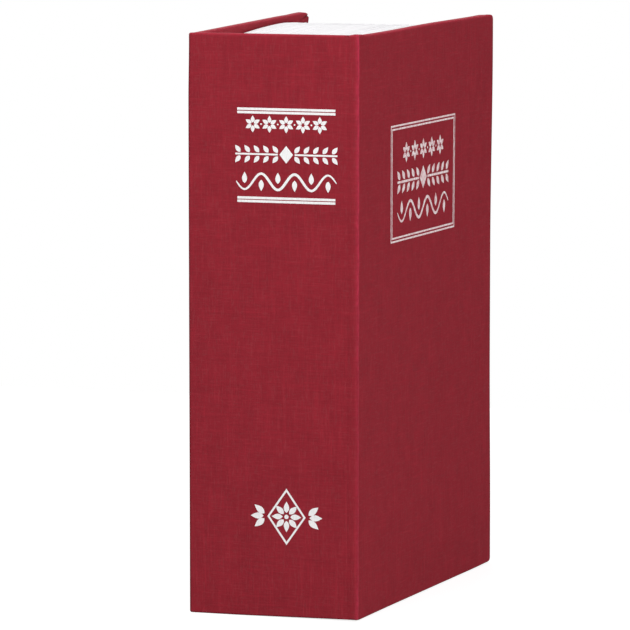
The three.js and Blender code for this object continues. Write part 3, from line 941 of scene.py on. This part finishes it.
def make_front_covering(cover, material):
    """The paper round the front board."""
    panel = Panel(COVER_WIDTH, cover.front_corner, cover)
    turn = cover_matrix(cover)
    ridge_middle, ridge_reach, ridge_count = 2.6 * MM, 1.9 * MM, 14

    def head_dip(across, from_fore):
        # The head sinks behind the joint and rises again to the fore-edge.
        depth = 0.43 * MM
        sinks = (5 * MM, 9.5 * MM)
        rises = (22 * MM, 70 * MM)
        return depth * ramp(across, *sinks) * (1 - ramp(across, *rises))

    def tail_lift(across, from_fore):
        past_joint, joint_reach = 0.1 * MM, 30 * MM
        at_fore, fore_reach = 0.15 * MM, 10 * MM
        return past_joint * ramp(across, 0, joint_reach) + at_fore * bulge(from_fore, fore_reach)

    paper = FoldedPaper(COVER_WIDTH, head_dip, tail_lift, ridge=True)

    def shape(*point):
        depth, across, up, wear_shade_and_highlight = paper(*point)
        depth += fore_swell(depth, across, up)
        return turn @ Vector((depth, across, up)), wear_shade_and_highlight

    lines = panel.across_lines(ridge_middle, ridge_reach, ridge_count)
    return wrapped_panel("front_cover_paper", panel, lines, shape, False, cover.sheet, material)


def make_case_covering(cover, material):
    """The paper round the spine and the back board, one sheet bent at their corner."""
    # The plain panel runs on past the spine's free side, so that the paper is closed square there.
    overrun = 6 * MM
    spine_width = SPINE_HIGH.x - BACK_LOW.x
    width = overrun + spine_width + COVER_WIDTH
    bend_radius = 0.9 * MM
    # The folded back edge is darker than the faces, as painted shade, and drawn in a little at its head.
    fold_shade = 0.85
    shade_reach = 0.45 * MM
    fold_reach, fold_count = 1.2 * MM, 8
    drawn_in = 0.25 * MM
    drawn_reach = 3 * MM
    drawn_heights = (158 * MM, 178 * MM)
    panel = Panel(width, cover.back_corner, cover, near_side=overrun)

    def head_dip(across, from_fore):
        everywhere = 0.15 * MM
        on_back, back_reach = 0.23 * MM, 5 * MM
        by_fore, fore_place, fore_reach = 0.08 * MM, 16 * MM, 5 * MM
        beyond = across - overrun - spine_width
        dip = everywhere + on_back * ramp(beyond, 0, back_reach)
        return dip + by_fore * bulge(from_fore - fore_place, fore_reach)

    def tail_lift(across, from_fore):
        at_joint, joint_reach = 0.38 * MM, 35 * MM
        return at_joint * max(0.0, 1 - (across - overrun) / joint_reach)

    paper = FoldedPaper(width, head_dip, tail_lift)

    def shape(*point):
        depth, across, up, wear_shade_and_highlight = paper(*point)
        inward = COVER_THICKNESS - depth
        along = across - overrun
        if along < spine_width:
            x = max(spine_width - along, inward)
            y = inward
        else:
            x = inward
            y = max(along - spine_width, inward)
        if x < bend_radius and y < bend_radius:
            x, y = (bend_radius + value for value in disc(x - bend_radius, y - bend_radius))
        corner = math.hypot(x, y)
        # Painted shade along the folded back edge.
        wear_shade_and_highlight -= fold_shade * bulge(corner, shade_reach)
        x += drawn_in * bulge(corner, drawn_reach) * ramp(up, *drawn_heights)
        return Vector((BACK_LOW.x + x, BACK_LOW.y + y, up)), wear_shade_and_highlight

    lines = panel.across_lines(overrun + spine_width, fold_reach, fold_count)
    return wrapped_panel("case_paper", panel, lines, shape, True, cover.sheet, material)


def make_joint_strip(cover, material):
    """The strip of paper across the joint between spine and front board."""
    reach = 0.9 * MM
    proud = 0.02 * MM
    dip = 0.02 * MM
    dip_reach = 0.35 * MM
    tail_gap = 0.5 * MM
    head_gap = 0.3 * MM
    steps = 6
    rows = 60
    turn = cover_matrix(cover)
    pivot = turn @ Vector((0, 0, 0))
    case_side = [pivot - Vector((reach * (steps - step) / steps, 0, 0)) for step in range(steps)]
    cover_side = [turn @ Vector((reach * step / steps, 0, 0)) for step in range(1, steps + 1)]
    bm = bmesh.new()
    bm.verts.layers.float.new("painted_light_and_wear")
    rings = []
    for index in range(rows + 1):
        height = tail_gap + (COVER_HEIGHT - head_gap - tail_gap) * index / rows
        front = []
        rear = []
        for point in case_side + [pivot] + cover_side:
            y = point.y - proud + dip * bulge((point - pivot).length, dip_reach)
            front.append(bm.verts.new((point.x, y, height)))
            rear.append(bm.verts.new((point.x, y + cover.sheet, height)))
        rings.append(front + rear[::-1])
    close_tube(bm, rings)
    return new_piece("front_joint_paper", mesh_from(bm, "front_joint_paper"), material), pivot


# Foil

def stamped(outline, foil, hole=()):
    """A flat outline as a thin solid, its foot sunk a little into the paper. Its hole has as many corners."""
    sunk = 0.02 * MM
    bm = bmesh.new()
    top = foil.thickness
    rings = [[bm.verts.new((x, y, z)) for x, y in outline] for z in (-sunk, top)]
    if hole:
        rings += [[bm.verts.new((x, y, z)) for x, y in hole] for z in (top, -sunk)]
        skin(bm, rings + rings[:1])
        bmesh.ops.recalc_face_normals(bm, faces=bm.faces)
    else:
        close_tube(bm, rings)
    return mesh_from(bm, "stamped", math.radians(20))


def leaf(length, width):
    """The outline of a leaf with its stalk at the origin, widest a little before its middle."""
    steps = 8
    lean = 0.8
    shares = [step / steps for step in range(1, steps)]
    edge = [(length * share, width / 2 * math.sin(math.pi * share ** lean)) for share in shares]
    return [(0.0, 0.0)] + [(x, -y) for x, y in edge] + [(length, 0.0)] + edge[::-1]


def dot(radius):
    """The outline of a dot."""
    sides = 12
    turns = [math.tau * index / sides for index in range(sides)]
    return [(radius * math.cos(turn), radius * math.sin(turn)) for turn in turns]


def lozenge(width, height):
    """The outline of a lozenge."""
    return [(-width / 2, 0), (0, -height / 2), (width / 2, 0), (0, height / 2)]


def bar(width, height):
    """The outline of a straight rule about its middle."""
    return [(x * width / 2, y * height / 2) for x, y in ((-1, -1), (1, -1), (1, 1), (-1, 1))]


def ribbon(line, width):
    """The outline of a band along a line, tapered to both ends."""
    end_width = 0.3
    taper = 0.4
    left, right = [], []
    for index, (x, y) in enumerate(line):
        before = line[max(index - 1, 0)]
        after = line[min(index + 1, len(line) - 1)]
        along = Vector((after[0] - before[0], after[1] - before[1])).normalized()
        middle = math.sin(math.pi * index / (len(line) - 1)) ** taper
        half = width / 2 * (end_width + (1 - end_width) * middle)
        left.append((x - along.y * half, y + along.x * half))
        right.append((x + along.y * half, y - along.x * half))
    return right + left[::-1]


def shifted(mesh, x=0.0, y=0.0, turn=0.0):
    """A mesh turned about its origin and moved in its own plane."""
    mesh.transform(Matrix.Translation((x, y, 0)) @ Matrix.Rotation(turn, 4, "Z"))
    return mesh


def flower_row(length, height, foil, material):
    """Six-petalled flowers with small dots between them."""
    count = round(length / height)
    pitch = (length - height) / (count - 1)
    petals = 6
    petal_length = 0.4 * height
    petal_width = 0.23 * height
    eye = 0.08 * height
    dot_radius = 0.05 * height
    petal = stamped(leaf(petal_length, petal_width), foil)
    flower = ring(petal, material, petals, eye)
    flower.transform(Matrix.Rotation(math.pi / petals, 4, "Z"))
    dots = row(stamped(dot(dot_radius), foil), material, count - 1, (pitch, 0, 0))
    return [row(flower, material, count, (pitch, 0, 0)), dots]


def garland_row(length, height, foil, material):
    """Leaves in pairs along two stems that leave from a lozenge in the middle."""
    pairs = 5
    lozenge_width = 0.8 * height
    start = 0.5 * height
    end_room = 0.3 * height
    stalk = 0.1 * height
    leaf_length = 0.5 * height
    leaf_width = 0.26 * height
    leaf_turn = math.radians(52)
    pitch = (length / 2 - start - end_room) / (pairs - 1)
    stem = length / 2 - start
    parts = [stamped(lozenge(lozenge_width, height), foil)]
    for side in (0, math.pi):
        half = [shifted(stamped(bar(stem, stalk), foil), x=start + stem / 2)]
        for up in (-1, 1):
            motif = stamped(leaf(leaf_length, leaf_width), foil)
            leaves = row(motif, material, pairs, (pitch, 0, 0), turn=up * leaf_turn)
            half.append(shifted(leaves, x=start + pitch * (pairs - 1) / 2, y=up * stalk))
        parts += [shifted(mesh, turn=side) for mesh in half]
    return parts


def vine_row(length, height, foil, material):
    """A waving stem with a bud in each of its hollows."""
    hollows = 6
    steps = 72
    wave = 0.42 * height
    stem_width = 0.14 * height
    bud_length = 0.6 * height
    bud_width = 0.28 * height
    bud_start = -0.1 * height
    line = [
        (length * (step / steps - 0.5), -wave * math.sin(math.pi * hollows * step / steps))
        for step in range(steps + 1)
    ]
    bud = shifted(stamped(leaf(bud_length, bud_width), foil), x=bud_start)
    buds = row(bud, material, hollows, (length / hollows, 0, 0), turn=math.pi / 2, alternate=math.pi)
    return [stamped(ribbon(line, stem_width), foil), buds]


def rosette(width, height, foil, material):
    """A rosette in a lozenge of thin rules, with a leaf spray at each side."""
    rule = 0.6 * MM
    half_width = 0.27 * width
    half_height = 0.5 * height
    petals = 8
    petal_length = 0.2 * height
    petal_width = 0.1 * height
    eye = 0.07 * height
    dot_radius = 0.04 * height
    spray_length = 0.18 * width
    spray_width = 0.11 * height
    # The sprays leave the lozenge's sides a little apart, so that they don't run into one another.
    spray_start = 1.2 * MM
    spray_tilts = (-40, 0, 40)
    inner = 1 - rule * math.hypot(half_width, half_height) / (half_width * half_height)
    hole = lozenge(2 * half_width * inner, 2 * half_height * inner)
    petal = stamped(leaf(petal_length, petal_width), foil)
    parts = [
        ring(petal, material, petals, eye),
        stamped(dot(dot_radius), foil),
        stamped(lozenge(2 * half_width, 2 * half_height), foil, hole),
    ]
    for side in (0, math.pi):
        for tilt in spray_tilts:
            spray = shifted(stamped(leaf(spray_length, spray_width), foil), x=spray_start)
            spray = shifted(shifted(spray, turn=math.radians(tilt)), x=half_width)
            parts.append(shifted(spray, turn=side))
    return parts


def ornament_rows(rows, foil, material):
    """Rows of ornament, one above another, from each row's maker, width, height and place."""
    parts = []
    for maker, width, height, place in rows:
        parts += [shifted(mesh, y=place) for mesh in maker(width, height, foil, material)]
    return parts


def make_spine_foil(foil, material):
    """The spine's foil: three rows of ornament between double rules, and a rosette near the tail."""
    middle = -1.35 * MM
    rule_length = 31.3 * MM
    rule_heights = (156.98 * MM, 155.95 * MM, 129.76 * MM, 128.74 * MM)
    outline = bar(rule_length, foil.spine_rule)
    parts = [shifted(stamped(outline, foil), y=height) for height in rule_heights]
    parts += ornament_rows((
        (flower_row, 26.8 * MM, 5.4 * MM, 152.4 * MM),
        (garland_row, 32.6 * MM, 5.4 * MM, 143.2 * MM),
        (vine_row, 32 * MM, 5.8 * MM, 134.8 * MM),
        (rosette, 22.9 * MM, 17.6 * MM, 31.5 * MM),
    ), foil, material)
    mesh = joined("spine_foil", parts)
    mesh.transform(Matrix.Translation((middle, SPINE_LOW.y, 0)) @ Matrix.Rotation(math.pi / 2, 4, "X"))
    return new_piece("spine_foil", mesh, material)


def make_front_foil(foil, cover, material):
    """The front cover's foil: three rows of ornament in a double ruled frame."""
    centre = (54.75 * MM, 132.15 * MM)
    width, height = 53.9 * MM, 36.45 * MM
    gap = 0.5 * MM
    rule = foil.front_rule
    side_rule = 0.4 * MM
    parts = []
    for step in (0, 1):
        outer = (width - 2 * step * (side_rule + gap), height - 2 * step * (rule + gap))
        inner = bar(outer[0] - 2 * side_rule, outer[1] - 2 * rule)
        parts.append(stamped(bar(*outer), foil, inner))
    parts += ornament_rows((
        (flower_row, 35 * MM, 6.6 * MM, 9.2 * MM),
        (garland_row, 43 * MM, 7.2 * MM, 0.2 * MM),
        (vine_row, 43 * MM, 7 * MM, -9.2 * MM),
    ), foil, material)
    mesh = joined("front_foil", [shifted(part, *centre) for part in parts])
    turn = cover_matrix(cover)
    for vertex in mesh.vertices:
        across, up, above = vertex.co
        depth = COVER_THICKNESS + fore_swell(COVER_THICKNESS, across, up) + above
        vertex.co = turn @ Vector((depth, across, up))
    return new_piece("front_foil", mesh, material)


# Pages

def leaf_ring(outer, inner, thickness, open_side):
    """One drawn leaf with its hole, in Y and Z about the block's middle.

    outer and inner give low Y, high Y, low Z and high Z. A leaf open at the binding side is cut through
    there. The head is cut into steps, so that it can be raised in an arch."""
    head_steps = 30
    half = thickness / 2
    bm = bmesh.new()

    def strip(low_y, high_y, low_z, high_z, steps=1):
        section = ((-half, low_z), (half, low_z), (half, high_z), (-half, high_z))
        lines = [low_y + (high_y - low_y) * step / steps for step in range(steps + 1)]
        close_tube(bm, [[bm.verts.new((x, y, z)) for x, z in section] for y in lines])

    strip(outer[0], outer[1], inner[3], outer[3], head_steps)
    strip(outer[0], outer[1], outer[2], inner[2])
    strip(inner[1], outer[1], inner[2], inner[3])
    if not open_side:
        strip(outer[0], inner[0], inner[2], inner[3])
    return mesh_from(bm, "leaf", math.radians(30))


def crowned(mesh):
    """Raises the leaves' heads in a low arch towards the fore-edge, less and less towards the front cover."""
    # Places and reaches are shares of the way from the spine to the fore-edge.
    peak = 1.36 * MM
    peak_place = 0.72
    near_reach = 0.45
    fore_reach = 0.2
    fore_fall = -0.3 * MM
    front_loss = 0.6
    above_box = 2 * MM
    size = PAGES_HIGH - PAGES_LOW
    for vertex in mesh.vertices:
        if vertex.co.z > BOX_HIGH.z + above_box:
            share = (vertex.co.y - PAGES_LOW.y) / size.y
            before = share < peak_place
            rise = peak * (1 - ((share - peak_place) / (near_reach if before else fore_reach)) ** 2)
            rise = max(rise, 0.0 if before else fore_fall)
            vertex.co.z += rise * (1 - front_loss * (vertex.co.x - PAGES_LOW.x) / size.x)
    return mesh


def make_pages(pages, material):
    """The block of pages, drawn as leaves a few real pages thick, cut away at the hinge."""
    clearance = 0.4 * MM
    hinge_room = 0.6 * MM
    binding_gap = 1.2 * MM
    # A leaf fills this share of its pitch.
    filled = 0.985
    leaf_low, leaf_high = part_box("hinge_box_leaf")
    relief_x = 2 * joint_place("lid_hinge").x - leaf_high.x - hinge_room
    hole = (leaf_low.y - binding_gap, BOX_HIGH.y + clearance, BOX_LOW.z - clearance, BOX_HIGH.z + clearance)
    wander = pages.wander
    outer = (PAGES_LOW.y + wander, PAGES_HIGH.y - wander, PAGES_LOW.z + wander, PAGES_HIGH.z)
    parts = []
    for low_x, high_x, open_side in ((PAGES_LOW.x, relief_x, False), (relief_x, PAGES_HIGH.x, True)):
        count = round((high_x - low_x) / pages.pitch)
        pitch = (high_x - low_x) / count
        motif = leaf_ring(outer, hole, pitch * filled, open_side)
        seed = pages.seed + open_side
        leaves = row(motif, material, count, (pitch, 0, 0), wander=(0, wander, wander), seed=seed)
        leaves.transform(Matrix.Translation(((low_x + high_x) / 2, 0, 0)))
        parts.append(leaves)
    return new_piece("page_leaves", crowned(joined("page_leaves", parts)), material)


def trimmed(node, trim):
    """The mesh of a frame node, cut a little shorter at head and tail."""
    mesh = frame["nodes"][node].data.copy()
    low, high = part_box(node)
    middle = (low.z + high.z) / 2
    share = 1 - trim / (high.z - middle)
    for vertex in mesh.vertices:
        vertex.co.z = middle + (vertex.co.z - middle) * share
    return mesh


def make_joint_lining(cover, material):
    """The endpaper where it dips from the front board's inner face to the joint."""
    # Places across the board and depths in it, in millimetres: level at first, then down a soft slope.
    dip = ((4.4, -0.03), (3.9, 0.0), (3.3, 0.12), (2.6, 0.26), (1.8, 0.33), (1.0, 0.35), (0.35, 0.35))
    sheet = 0.15
    tuck = 1.5 * MM
    rows = 24
    line = list(dip) + [(across, depth + sheet) for across, depth in reversed(dip)]
    low = cover.turn_in - tuck
    heights = [low + (COVER_HEIGHT - 2 * low) * index / rows for index in range(rows + 1)]
    turn = cover_matrix(cover)
    bm = bmesh.new()
    close_tube(bm, [
        [bm.verts.new(turn @ Vector((depth * MM, across * MM, height))) for across, depth in line]
        for height in heights
    ])
    return new_piece("front_joint_lining", mesh_from(bm, "front_joint_lining"), material)


# Boards and metal pieces

def broken(bm, edges, radius, segments):
    """Rounds edges to a radius."""
    bmesh.ops.bevel(
        bm, geom=edges, offset=radius, segments=segments, profile=0.5, affect="EDGES", clamp_overlap=True,
    )


def settle_piece(piece, body, slot, *nodes):
    """Says what a piece rides on and which nodes it stands for, which it hides.

    slot is not used.
    """
    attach(piece, body)
    if nodes:
        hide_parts(*nodes)


def dress(node, name, body, slot, material, edge, chosen=None, radius=0.0):
    """Puts a finished copy in a node's place: welded, its flat facets joined and its sharp edges broken.

    chosen says which edges take a wider rounding, and radius how wide."""
    flat = math.radians(1)
    wide_steps = 5
    edge_steps = 2
    smooth = math.radians(35)
    bm = bmesh.new()
    bm.from_mesh(frame["nodes"][node].data)
    bmesh.ops.remove_doubles(bm, verts=bm.verts, dist=WELD)
    bmesh.ops.dissolve_limit(bm, angle_limit=flat, verts=bm.verts, edges=bm.edges)
    if chosen:
        broken(bm, [one for one in bm.edges if len(one.link_faces) == 2 and chosen(one)], radius, wide_steps)
    sharp = [one for one in bm.edges if len(one.link_faces) == 2 and one.calc_face_angle(0) > SHARP]
    broken(bm, sharp, edge, edge_steps)
    bmesh.ops.dissolve_degenerate(bm, edges=bm.edges, dist=WELD / 4)
    # The wide faces keep their own normals, so that only the broken edges look round.
    plain = modified(name, mesh_from(bm, name, smooth), material, "WEIGHTED_NORMAL", keep_sharp=True)
    settle_piece(new_piece(name, plain, material), body, slot, node)


def on_lid_rim(edge):
    """Whether an edge runs round the lid's outer face."""
    near = 0.02 * MM
    margin = 3.2 * MM
    if any(abs(vert.co.x - LID_HIGH.x) > near for vert in edge.verts):
        return False
    middle = (edge.verts[0].co + edge.verts[1].co) / 2
    at_fore = middle.y > LID_HIGH.y - margin
    at_end = middle.z > LID_HIGH.z - margin or middle.z < LID_LOW.z + margin
    return (at_fore or at_end) and edge.calc_face_angle(0) > SHARP


def on_fore_corner(edge):
    """Whether an edge of a board crosses its thickness at the fore-edge."""
    crossing = 1 * MM
    first, second = (vert.co for vert in edge.verts)
    return abs(first.x - second.x) > crossing and first.y > 0


def rivet_row(nodes, material):
    """A row of rivets in the places of the frame's, each like the first."""
    first, last = (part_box(nodes[index]) for index in (0, -1))
    middle = (first[0] + first[1]) / 2
    pitch = (last[0].z - first[0].z) / (len(nodes) - 1)
    bm = bmesh.new()
    bm.from_mesh(frame["nodes"][nodes[0]].data)
    bmesh.ops.remove_doubles(bm, verts=bm.verts, dist=WELD)
    bmesh.ops.translate(bm, verts=bm.verts, vec=-middle)
    rivets = row(mesh_from(bm, "rivet", SHARP), material, len(nodes), (0, 0, pitch))
    centre = middle + Vector((0, 0, pitch * (len(nodes) - 1) / 2))
    rivets.transform(Matrix.Translation(centre))
    return rivets


def paint_node(name, material):
    """Gives a frame node a finish of this file."""
    mesh = frame["nodes"][name].data
    mesh.materials.clear()
    mesh.materials.append(material)


# Operators

class MakeCovering(bpy.types.Operator):
    """Wrap the boards and the spine in covering paper"""

    bl_idname = "book_safe.make_covering"
    bl_label = "Covering paper"

    def execute(self, context):
        cover = context.scene.book_safe.cover
        paper = covering_paper(cover)
        case_paper = make_case_covering(cover, paper)
        settle_piece(case_paper, "case", "covering_paper", "back_covering", "spine_covering")
        settle_piece(make_front_covering(cover, paper), "front_cover", "covering_paper", "front_covering")
        strip, pivot = make_joint_strip(cover, paper)
        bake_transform(strip)
        return {"FINISHED"}


class MakeFoil(bpy.types.Operator):
    """Block the ornament onto the spine and the front cover"""

    bl_idname = "book_safe.make_foil"
    bl_label = "Foil ornament"

    def execute(self, context):
        foil = context.scene.book_safe.foil
        cover = context.scene.book_safe.cover
        thick_foil = blocked_foil("blocked foil", foil, cover, 0.0)
        # The front cover's foil is a darker copy: partly thin foil, partly painted shade.
        shaded_thin_foil = blocked_foil("thin blocked foil with painted shade", foil, cover, foil.show_through_and_shade)
        settle_piece(make_spine_foil(foil, thick_foil), "case", "covering_paper")
        settle_piece(make_front_foil(foil, cover, shaded_thin_foil), "front_cover", "covering_paper")
        return {"FINISHED"}


class MakePages(bpy.types.Operator):
    """Stack the pages and finish the boards and endpapers"""

    bl_idname = "book_safe.make_pages"
    bl_label = "Pages and endpapers"

    def execute(self, context):
        pages = context.scene.book_safe.pages
        cover = context.scene.book_safe.cover
        settle_piece(make_pages(pages, page_paper(pages)), "case", "page_paper", "page_block")
        pasted = endpaper(pages)
        paint_node("spine_lining", pasted)
        for node, body in (("back_endpaper", "case"), ("front_endpaper", "front_cover")):
            sheet = new_piece(f"{node}_sheet", trimmed(node, pages.trim), pasted)
            settle_piece(sheet, body, "endpaper", node)
        settle_piece(make_joint_lining(cover, pasted), "front_cover", "endpaper")
        board = greyboard(pages)
        paint_node("spine_board", board)
        cut_edge = 0.1 * MM
        for node, body, corner in (
            ("back_board", "case", cover.back_corner), ("front_board", "front_cover", cover.front_corner),
        ):
            # The board's corners are rounded inside the paper's.
            radius = corner - cover.edge
            dress(node, f"{node}_cut", body, "greyboard", board, cut_edge, on_fore_corner, radius)
        return {"FINISHED"}


class MakeSafe(bpy.types.Operator):
    """Paint the steel box and its lid"""

    bl_idname = "book_safe.make_safe"
    bl_label = "Box and lid"

    def execute(self, context):
        safe = context.scene.book_safe.safe
        paint = powder_coat(safe)
        box_edge = 0.25 * MM
        lid_edge = 0.2 * MM
        dress("safe_box", "box_shell", "case", "painted_steel", paint, box_edge)
        dress("safe_lid", "lid_shell", "lid", "painted_steel", paint, lid_edge, on_lid_rim, safe.bend)
        return {"FINISHED"}


class MakeHinge(bpy.types.Operator):
    """Finish the piano hinge, its pin and its rivets"""

    bl_idname = "book_safe.make_hinge"
    bl_label = "Piano hinge"

    def execute(self, context):
        fittings = context.scene.book_safe.fittings
        zinc = plated_zinc(fittings)
        for node, body in (("hinge_box_leaf", "case"), ("hinge_pin", "case"), ("hinge_lid_leaf", "lid")):
            dress(node, f"{node}_plated", body, "zinc_plated_steel", zinc, fittings.edge)
        for label, body in (("box_leaf", "case"), ("lid_leaf", "lid")):
            nodes = sorted(name for name in frame["nodes"] if name.startswith(f"{label}_rivet_"))
            piece = new_piece(f"{label}_rivets", rivet_row(nodes, zinc), zinc)
            settle_piece(piece, body, "zinc_plated_steel", *nodes)
        return {"FINISHED"}


class MakeLock(bpy.types.Operator):
    """Finish the cam lock and its keeper"""

    bl_idname = "book_safe.make_lock"
    bl_label = "Cam lock"

    def execute(self, context):
        fittings = context.scene.book_safe.fittings
        chrome = (chrome_plate(fittings), "chromed_zinc")
        zinc = (plated_zinc(fittings), "zinc_plated_steel")
        for node, body, (material, slot) in (
            ("lock_housing", "lid", chrome), ("lock_plug", "lock_core", chrome), ("lock_washer", "lid", zinc),
            ("lock_nut", "lid", zinc), ("lock_cam", "lock_core", zinc), ("cam_screw", "lock_core", zinc),
            ("lock_keeper", "case", zinc),
        ):
            dress(node, f"{node}_plated", body, slot, material, fittings.edge)
        return {"FINISHED"}


def seen_directly(tree):
    """1 where the camera, a reflection or a look through glass meets a surface, else 0."""
    camera, glossy, through = (
        add_node(tree, "ShaderNodeLightPath", output=f"Is {kind} Ray")
        for kind in ("Camera", "Glossy", "Transmission")
    )
    either = add_node(tree, "ShaderNodeMath", {0: camera, 1: glossy}, operation="MAXIMUM")
    return add_node(tree, "ShaderNodeMath", {0: either, 1: through}, operation="MAXIMUM")


def floor_material():
    """Pale seamless paper. It looks white to the camera and in reflections and keeps the object's shadow."""
    material = new_material("pale seamless floor")
    tree = material.node_tree
    diffuse = add_node(tree, "ShaderNodeBsdfDiffuse", {"Color": shade(WHITE, 0.35)})
    glow = add_node(tree, "ShaderNodeEmission", {"Color": shade(WHITE, 1.0), "Strength": 0.82})
    lit = add_node(tree, "ShaderNodeAddShader", {0: diffuse, 1: glow})
    chosen = add_node(tree, "ShaderNodeMixShader", {0: seen_directly(tree), 1: diffuse, 2: lit})
    add_node(tree, "ShaderNodeOutputMaterial", {"Surface": chosen})
    return material


def area_lamp(name, place, aim, size, power):
    """A square soft box aimed at a point."""
    lamp = bpy.data.lights.new(name, "AREA")
    lamp.energy = power
    lamp.size = size
    holder = bpy.data.objects.new(name, lamp)
    holder.location = place
    holder.rotation_euler = (aim - place).to_track_quat("-Z", "Y").to_euler()
    bpy.context.scene.collection.objects.link(holder)


def make_world(level):
    """Even light all round, white where the camera or a reflection sees it."""
    world = bpy.data.worlds.new("Studio")
    world.use_nodes = True
    tree = world.node_tree
    tree.nodes.clear()
    strength = add_node(tree, "ShaderNodeMapRange", {
        "Value": seen_directly(tree), "To Min": level, "To Max": 1.0,
    })
    sky = add_node(tree, "ShaderNodeBackground", {"Color": shade(WHITE, 1.0), "Strength": strength})
    add_node(tree, "ShaderNodeOutputWorld", {"Surface": sky})
    bpy.context.scene.world = world


def outward(azimuth, elevation):
    """The direction from the object to a place that is turned and raised by two angles."""
    level = math.cos(elevation)
    return Vector((math.sin(azimuth) * level, -math.cos(azimuth) * level, math.sin(elevation)))


class MakeStage(bpy.types.Operator):
    """Set the floor, the lamps and the camera"""

    bl_idname = "book_safe.make_stage"
    bl_label = "Stage"

    def execute(self, context):
        stage = context.scene.book_safe.stage
        floor_size = 0.8
        floor_gap = 0.05 * MM
        near_limit = 0.05
        far_limit = 50.0
        bm = bmesh.new()
        bmesh.ops.create_grid(bm, x_segments=1, y_segments=1, size=floor_size / 2)
        bmesh.ops.translate(bm, verts=bm.verts, vec=(0, 0, -floor_gap))
        floor = new_piece("floor", mesh_from(bm, "floor"), floor_material())
        aim = Vector((0, 0, COVER_HEIGHT / 2))
        # Each lamp's turn and height in degrees, its distance, its size and its power.
        lamps = (
            ("front_lamp", -20, 39, 0.6, 0.5, stage.front),
            ("side_lamp", 59, 15, 0.9, 0.5, stage.side),
            ("top_lamp", 0, 89, 1.1, 0.7, stage.top),
            ("back_lamp", 205, 20, 0.9, 0.6, stage.back),
        )
        for name, turn, height, distance, size, power in lamps:
            place = aim + distance * outward(math.radians(turn), math.radians(height))
            area_lamp(name, place, aim, size, power)
        make_world(stage.ambient)
        lens = bpy.data.cameras.new("camera")
        lens.lens = stage.lens
        lens.sensor_width = 36.0
        lens.clip_start = near_limit
        lens.clip_end = far_limit
        camera = bpy.data.objects.new("camera", lens)
        context.scene.collection.objects.link(camera)
        camera.location = stage.camera_place
        view = -outward(stage.azimuth, stage.elevation)
        camera.rotation_euler = view.to_track_quat("-Z", "Y").to_euler()
        context.scene.camera = camera
        context.scene.view_settings.view_transform = "Standard"
        return {"FINISHED"}


class BookSafeSettings(bpy.types.PropertyGroup):
    """Everything that a user would change."""

    cover: PointerProperty(type=CoverSettings)
    foil: PointerProperty(type=FoilSettings)
    pages: PointerProperty(type=PageSettings)
    safe: PointerProperty(type=SafeSettings)
    fittings: PointerProperty(type=FittingSettings)
    stage: PointerProperty(type=StageSettings)


OPERATORS = (MakeCovering, MakeFoil, MakePages, MakeSafe, MakeHinge, MakeLock, MakeStage)
SETTINGS = (
    CoverSettings, FoilSettings, PageSettings, SafeSettings, FittingSettings, StageSettings, BookSafeSettings,
)


class BookSafePanel(bpy.types.Panel):
    """Lists the makers and the settings"""

    bl_idname = "VIEW3D_PT_book_safe"
    bl_label = "Book safe"
    bl_space_type = "VIEW_3D"
    bl_region_type = "UI"
    bl_category = "Book safe"

    def draw(self, context):
        layout = self.layout
        settings = context.scene.book_safe
        for name in ("cover", "foil", "pages", "safe", "fittings", "stage"):
            box = layout.box()
            group = getattr(settings, name)
            for field in group.bl_rna.properties:
                if not field.is_readonly and field.identifier != "name":
                    box.prop(group, field.identifier)
        for operator in OPERATORS:
            layout.operator(operator.bl_idname)


def register():
    for kind in (*SETTINGS, *OPERATORS, BookSafePanel):
        bpy.utils.register_class(kind)
    bpy.types.Scene.book_safe = PointerProperty(type=BookSafeSettings)


def unregister():
    del bpy.types.Scene.book_safe
    for kind in reversed((*SETTINGS, *OPERATORS, BookSafePanel)):
        bpy.utils.unregister_class(kind)


def main():
    """Makes every piece and the stage."""
    register()
    for operator in OPERATORS:
        group, name = operator.bl_idname.split(".")
        getattr(getattr(bpy.ops, group), name)()


if __name__ == "__main__":
    main()
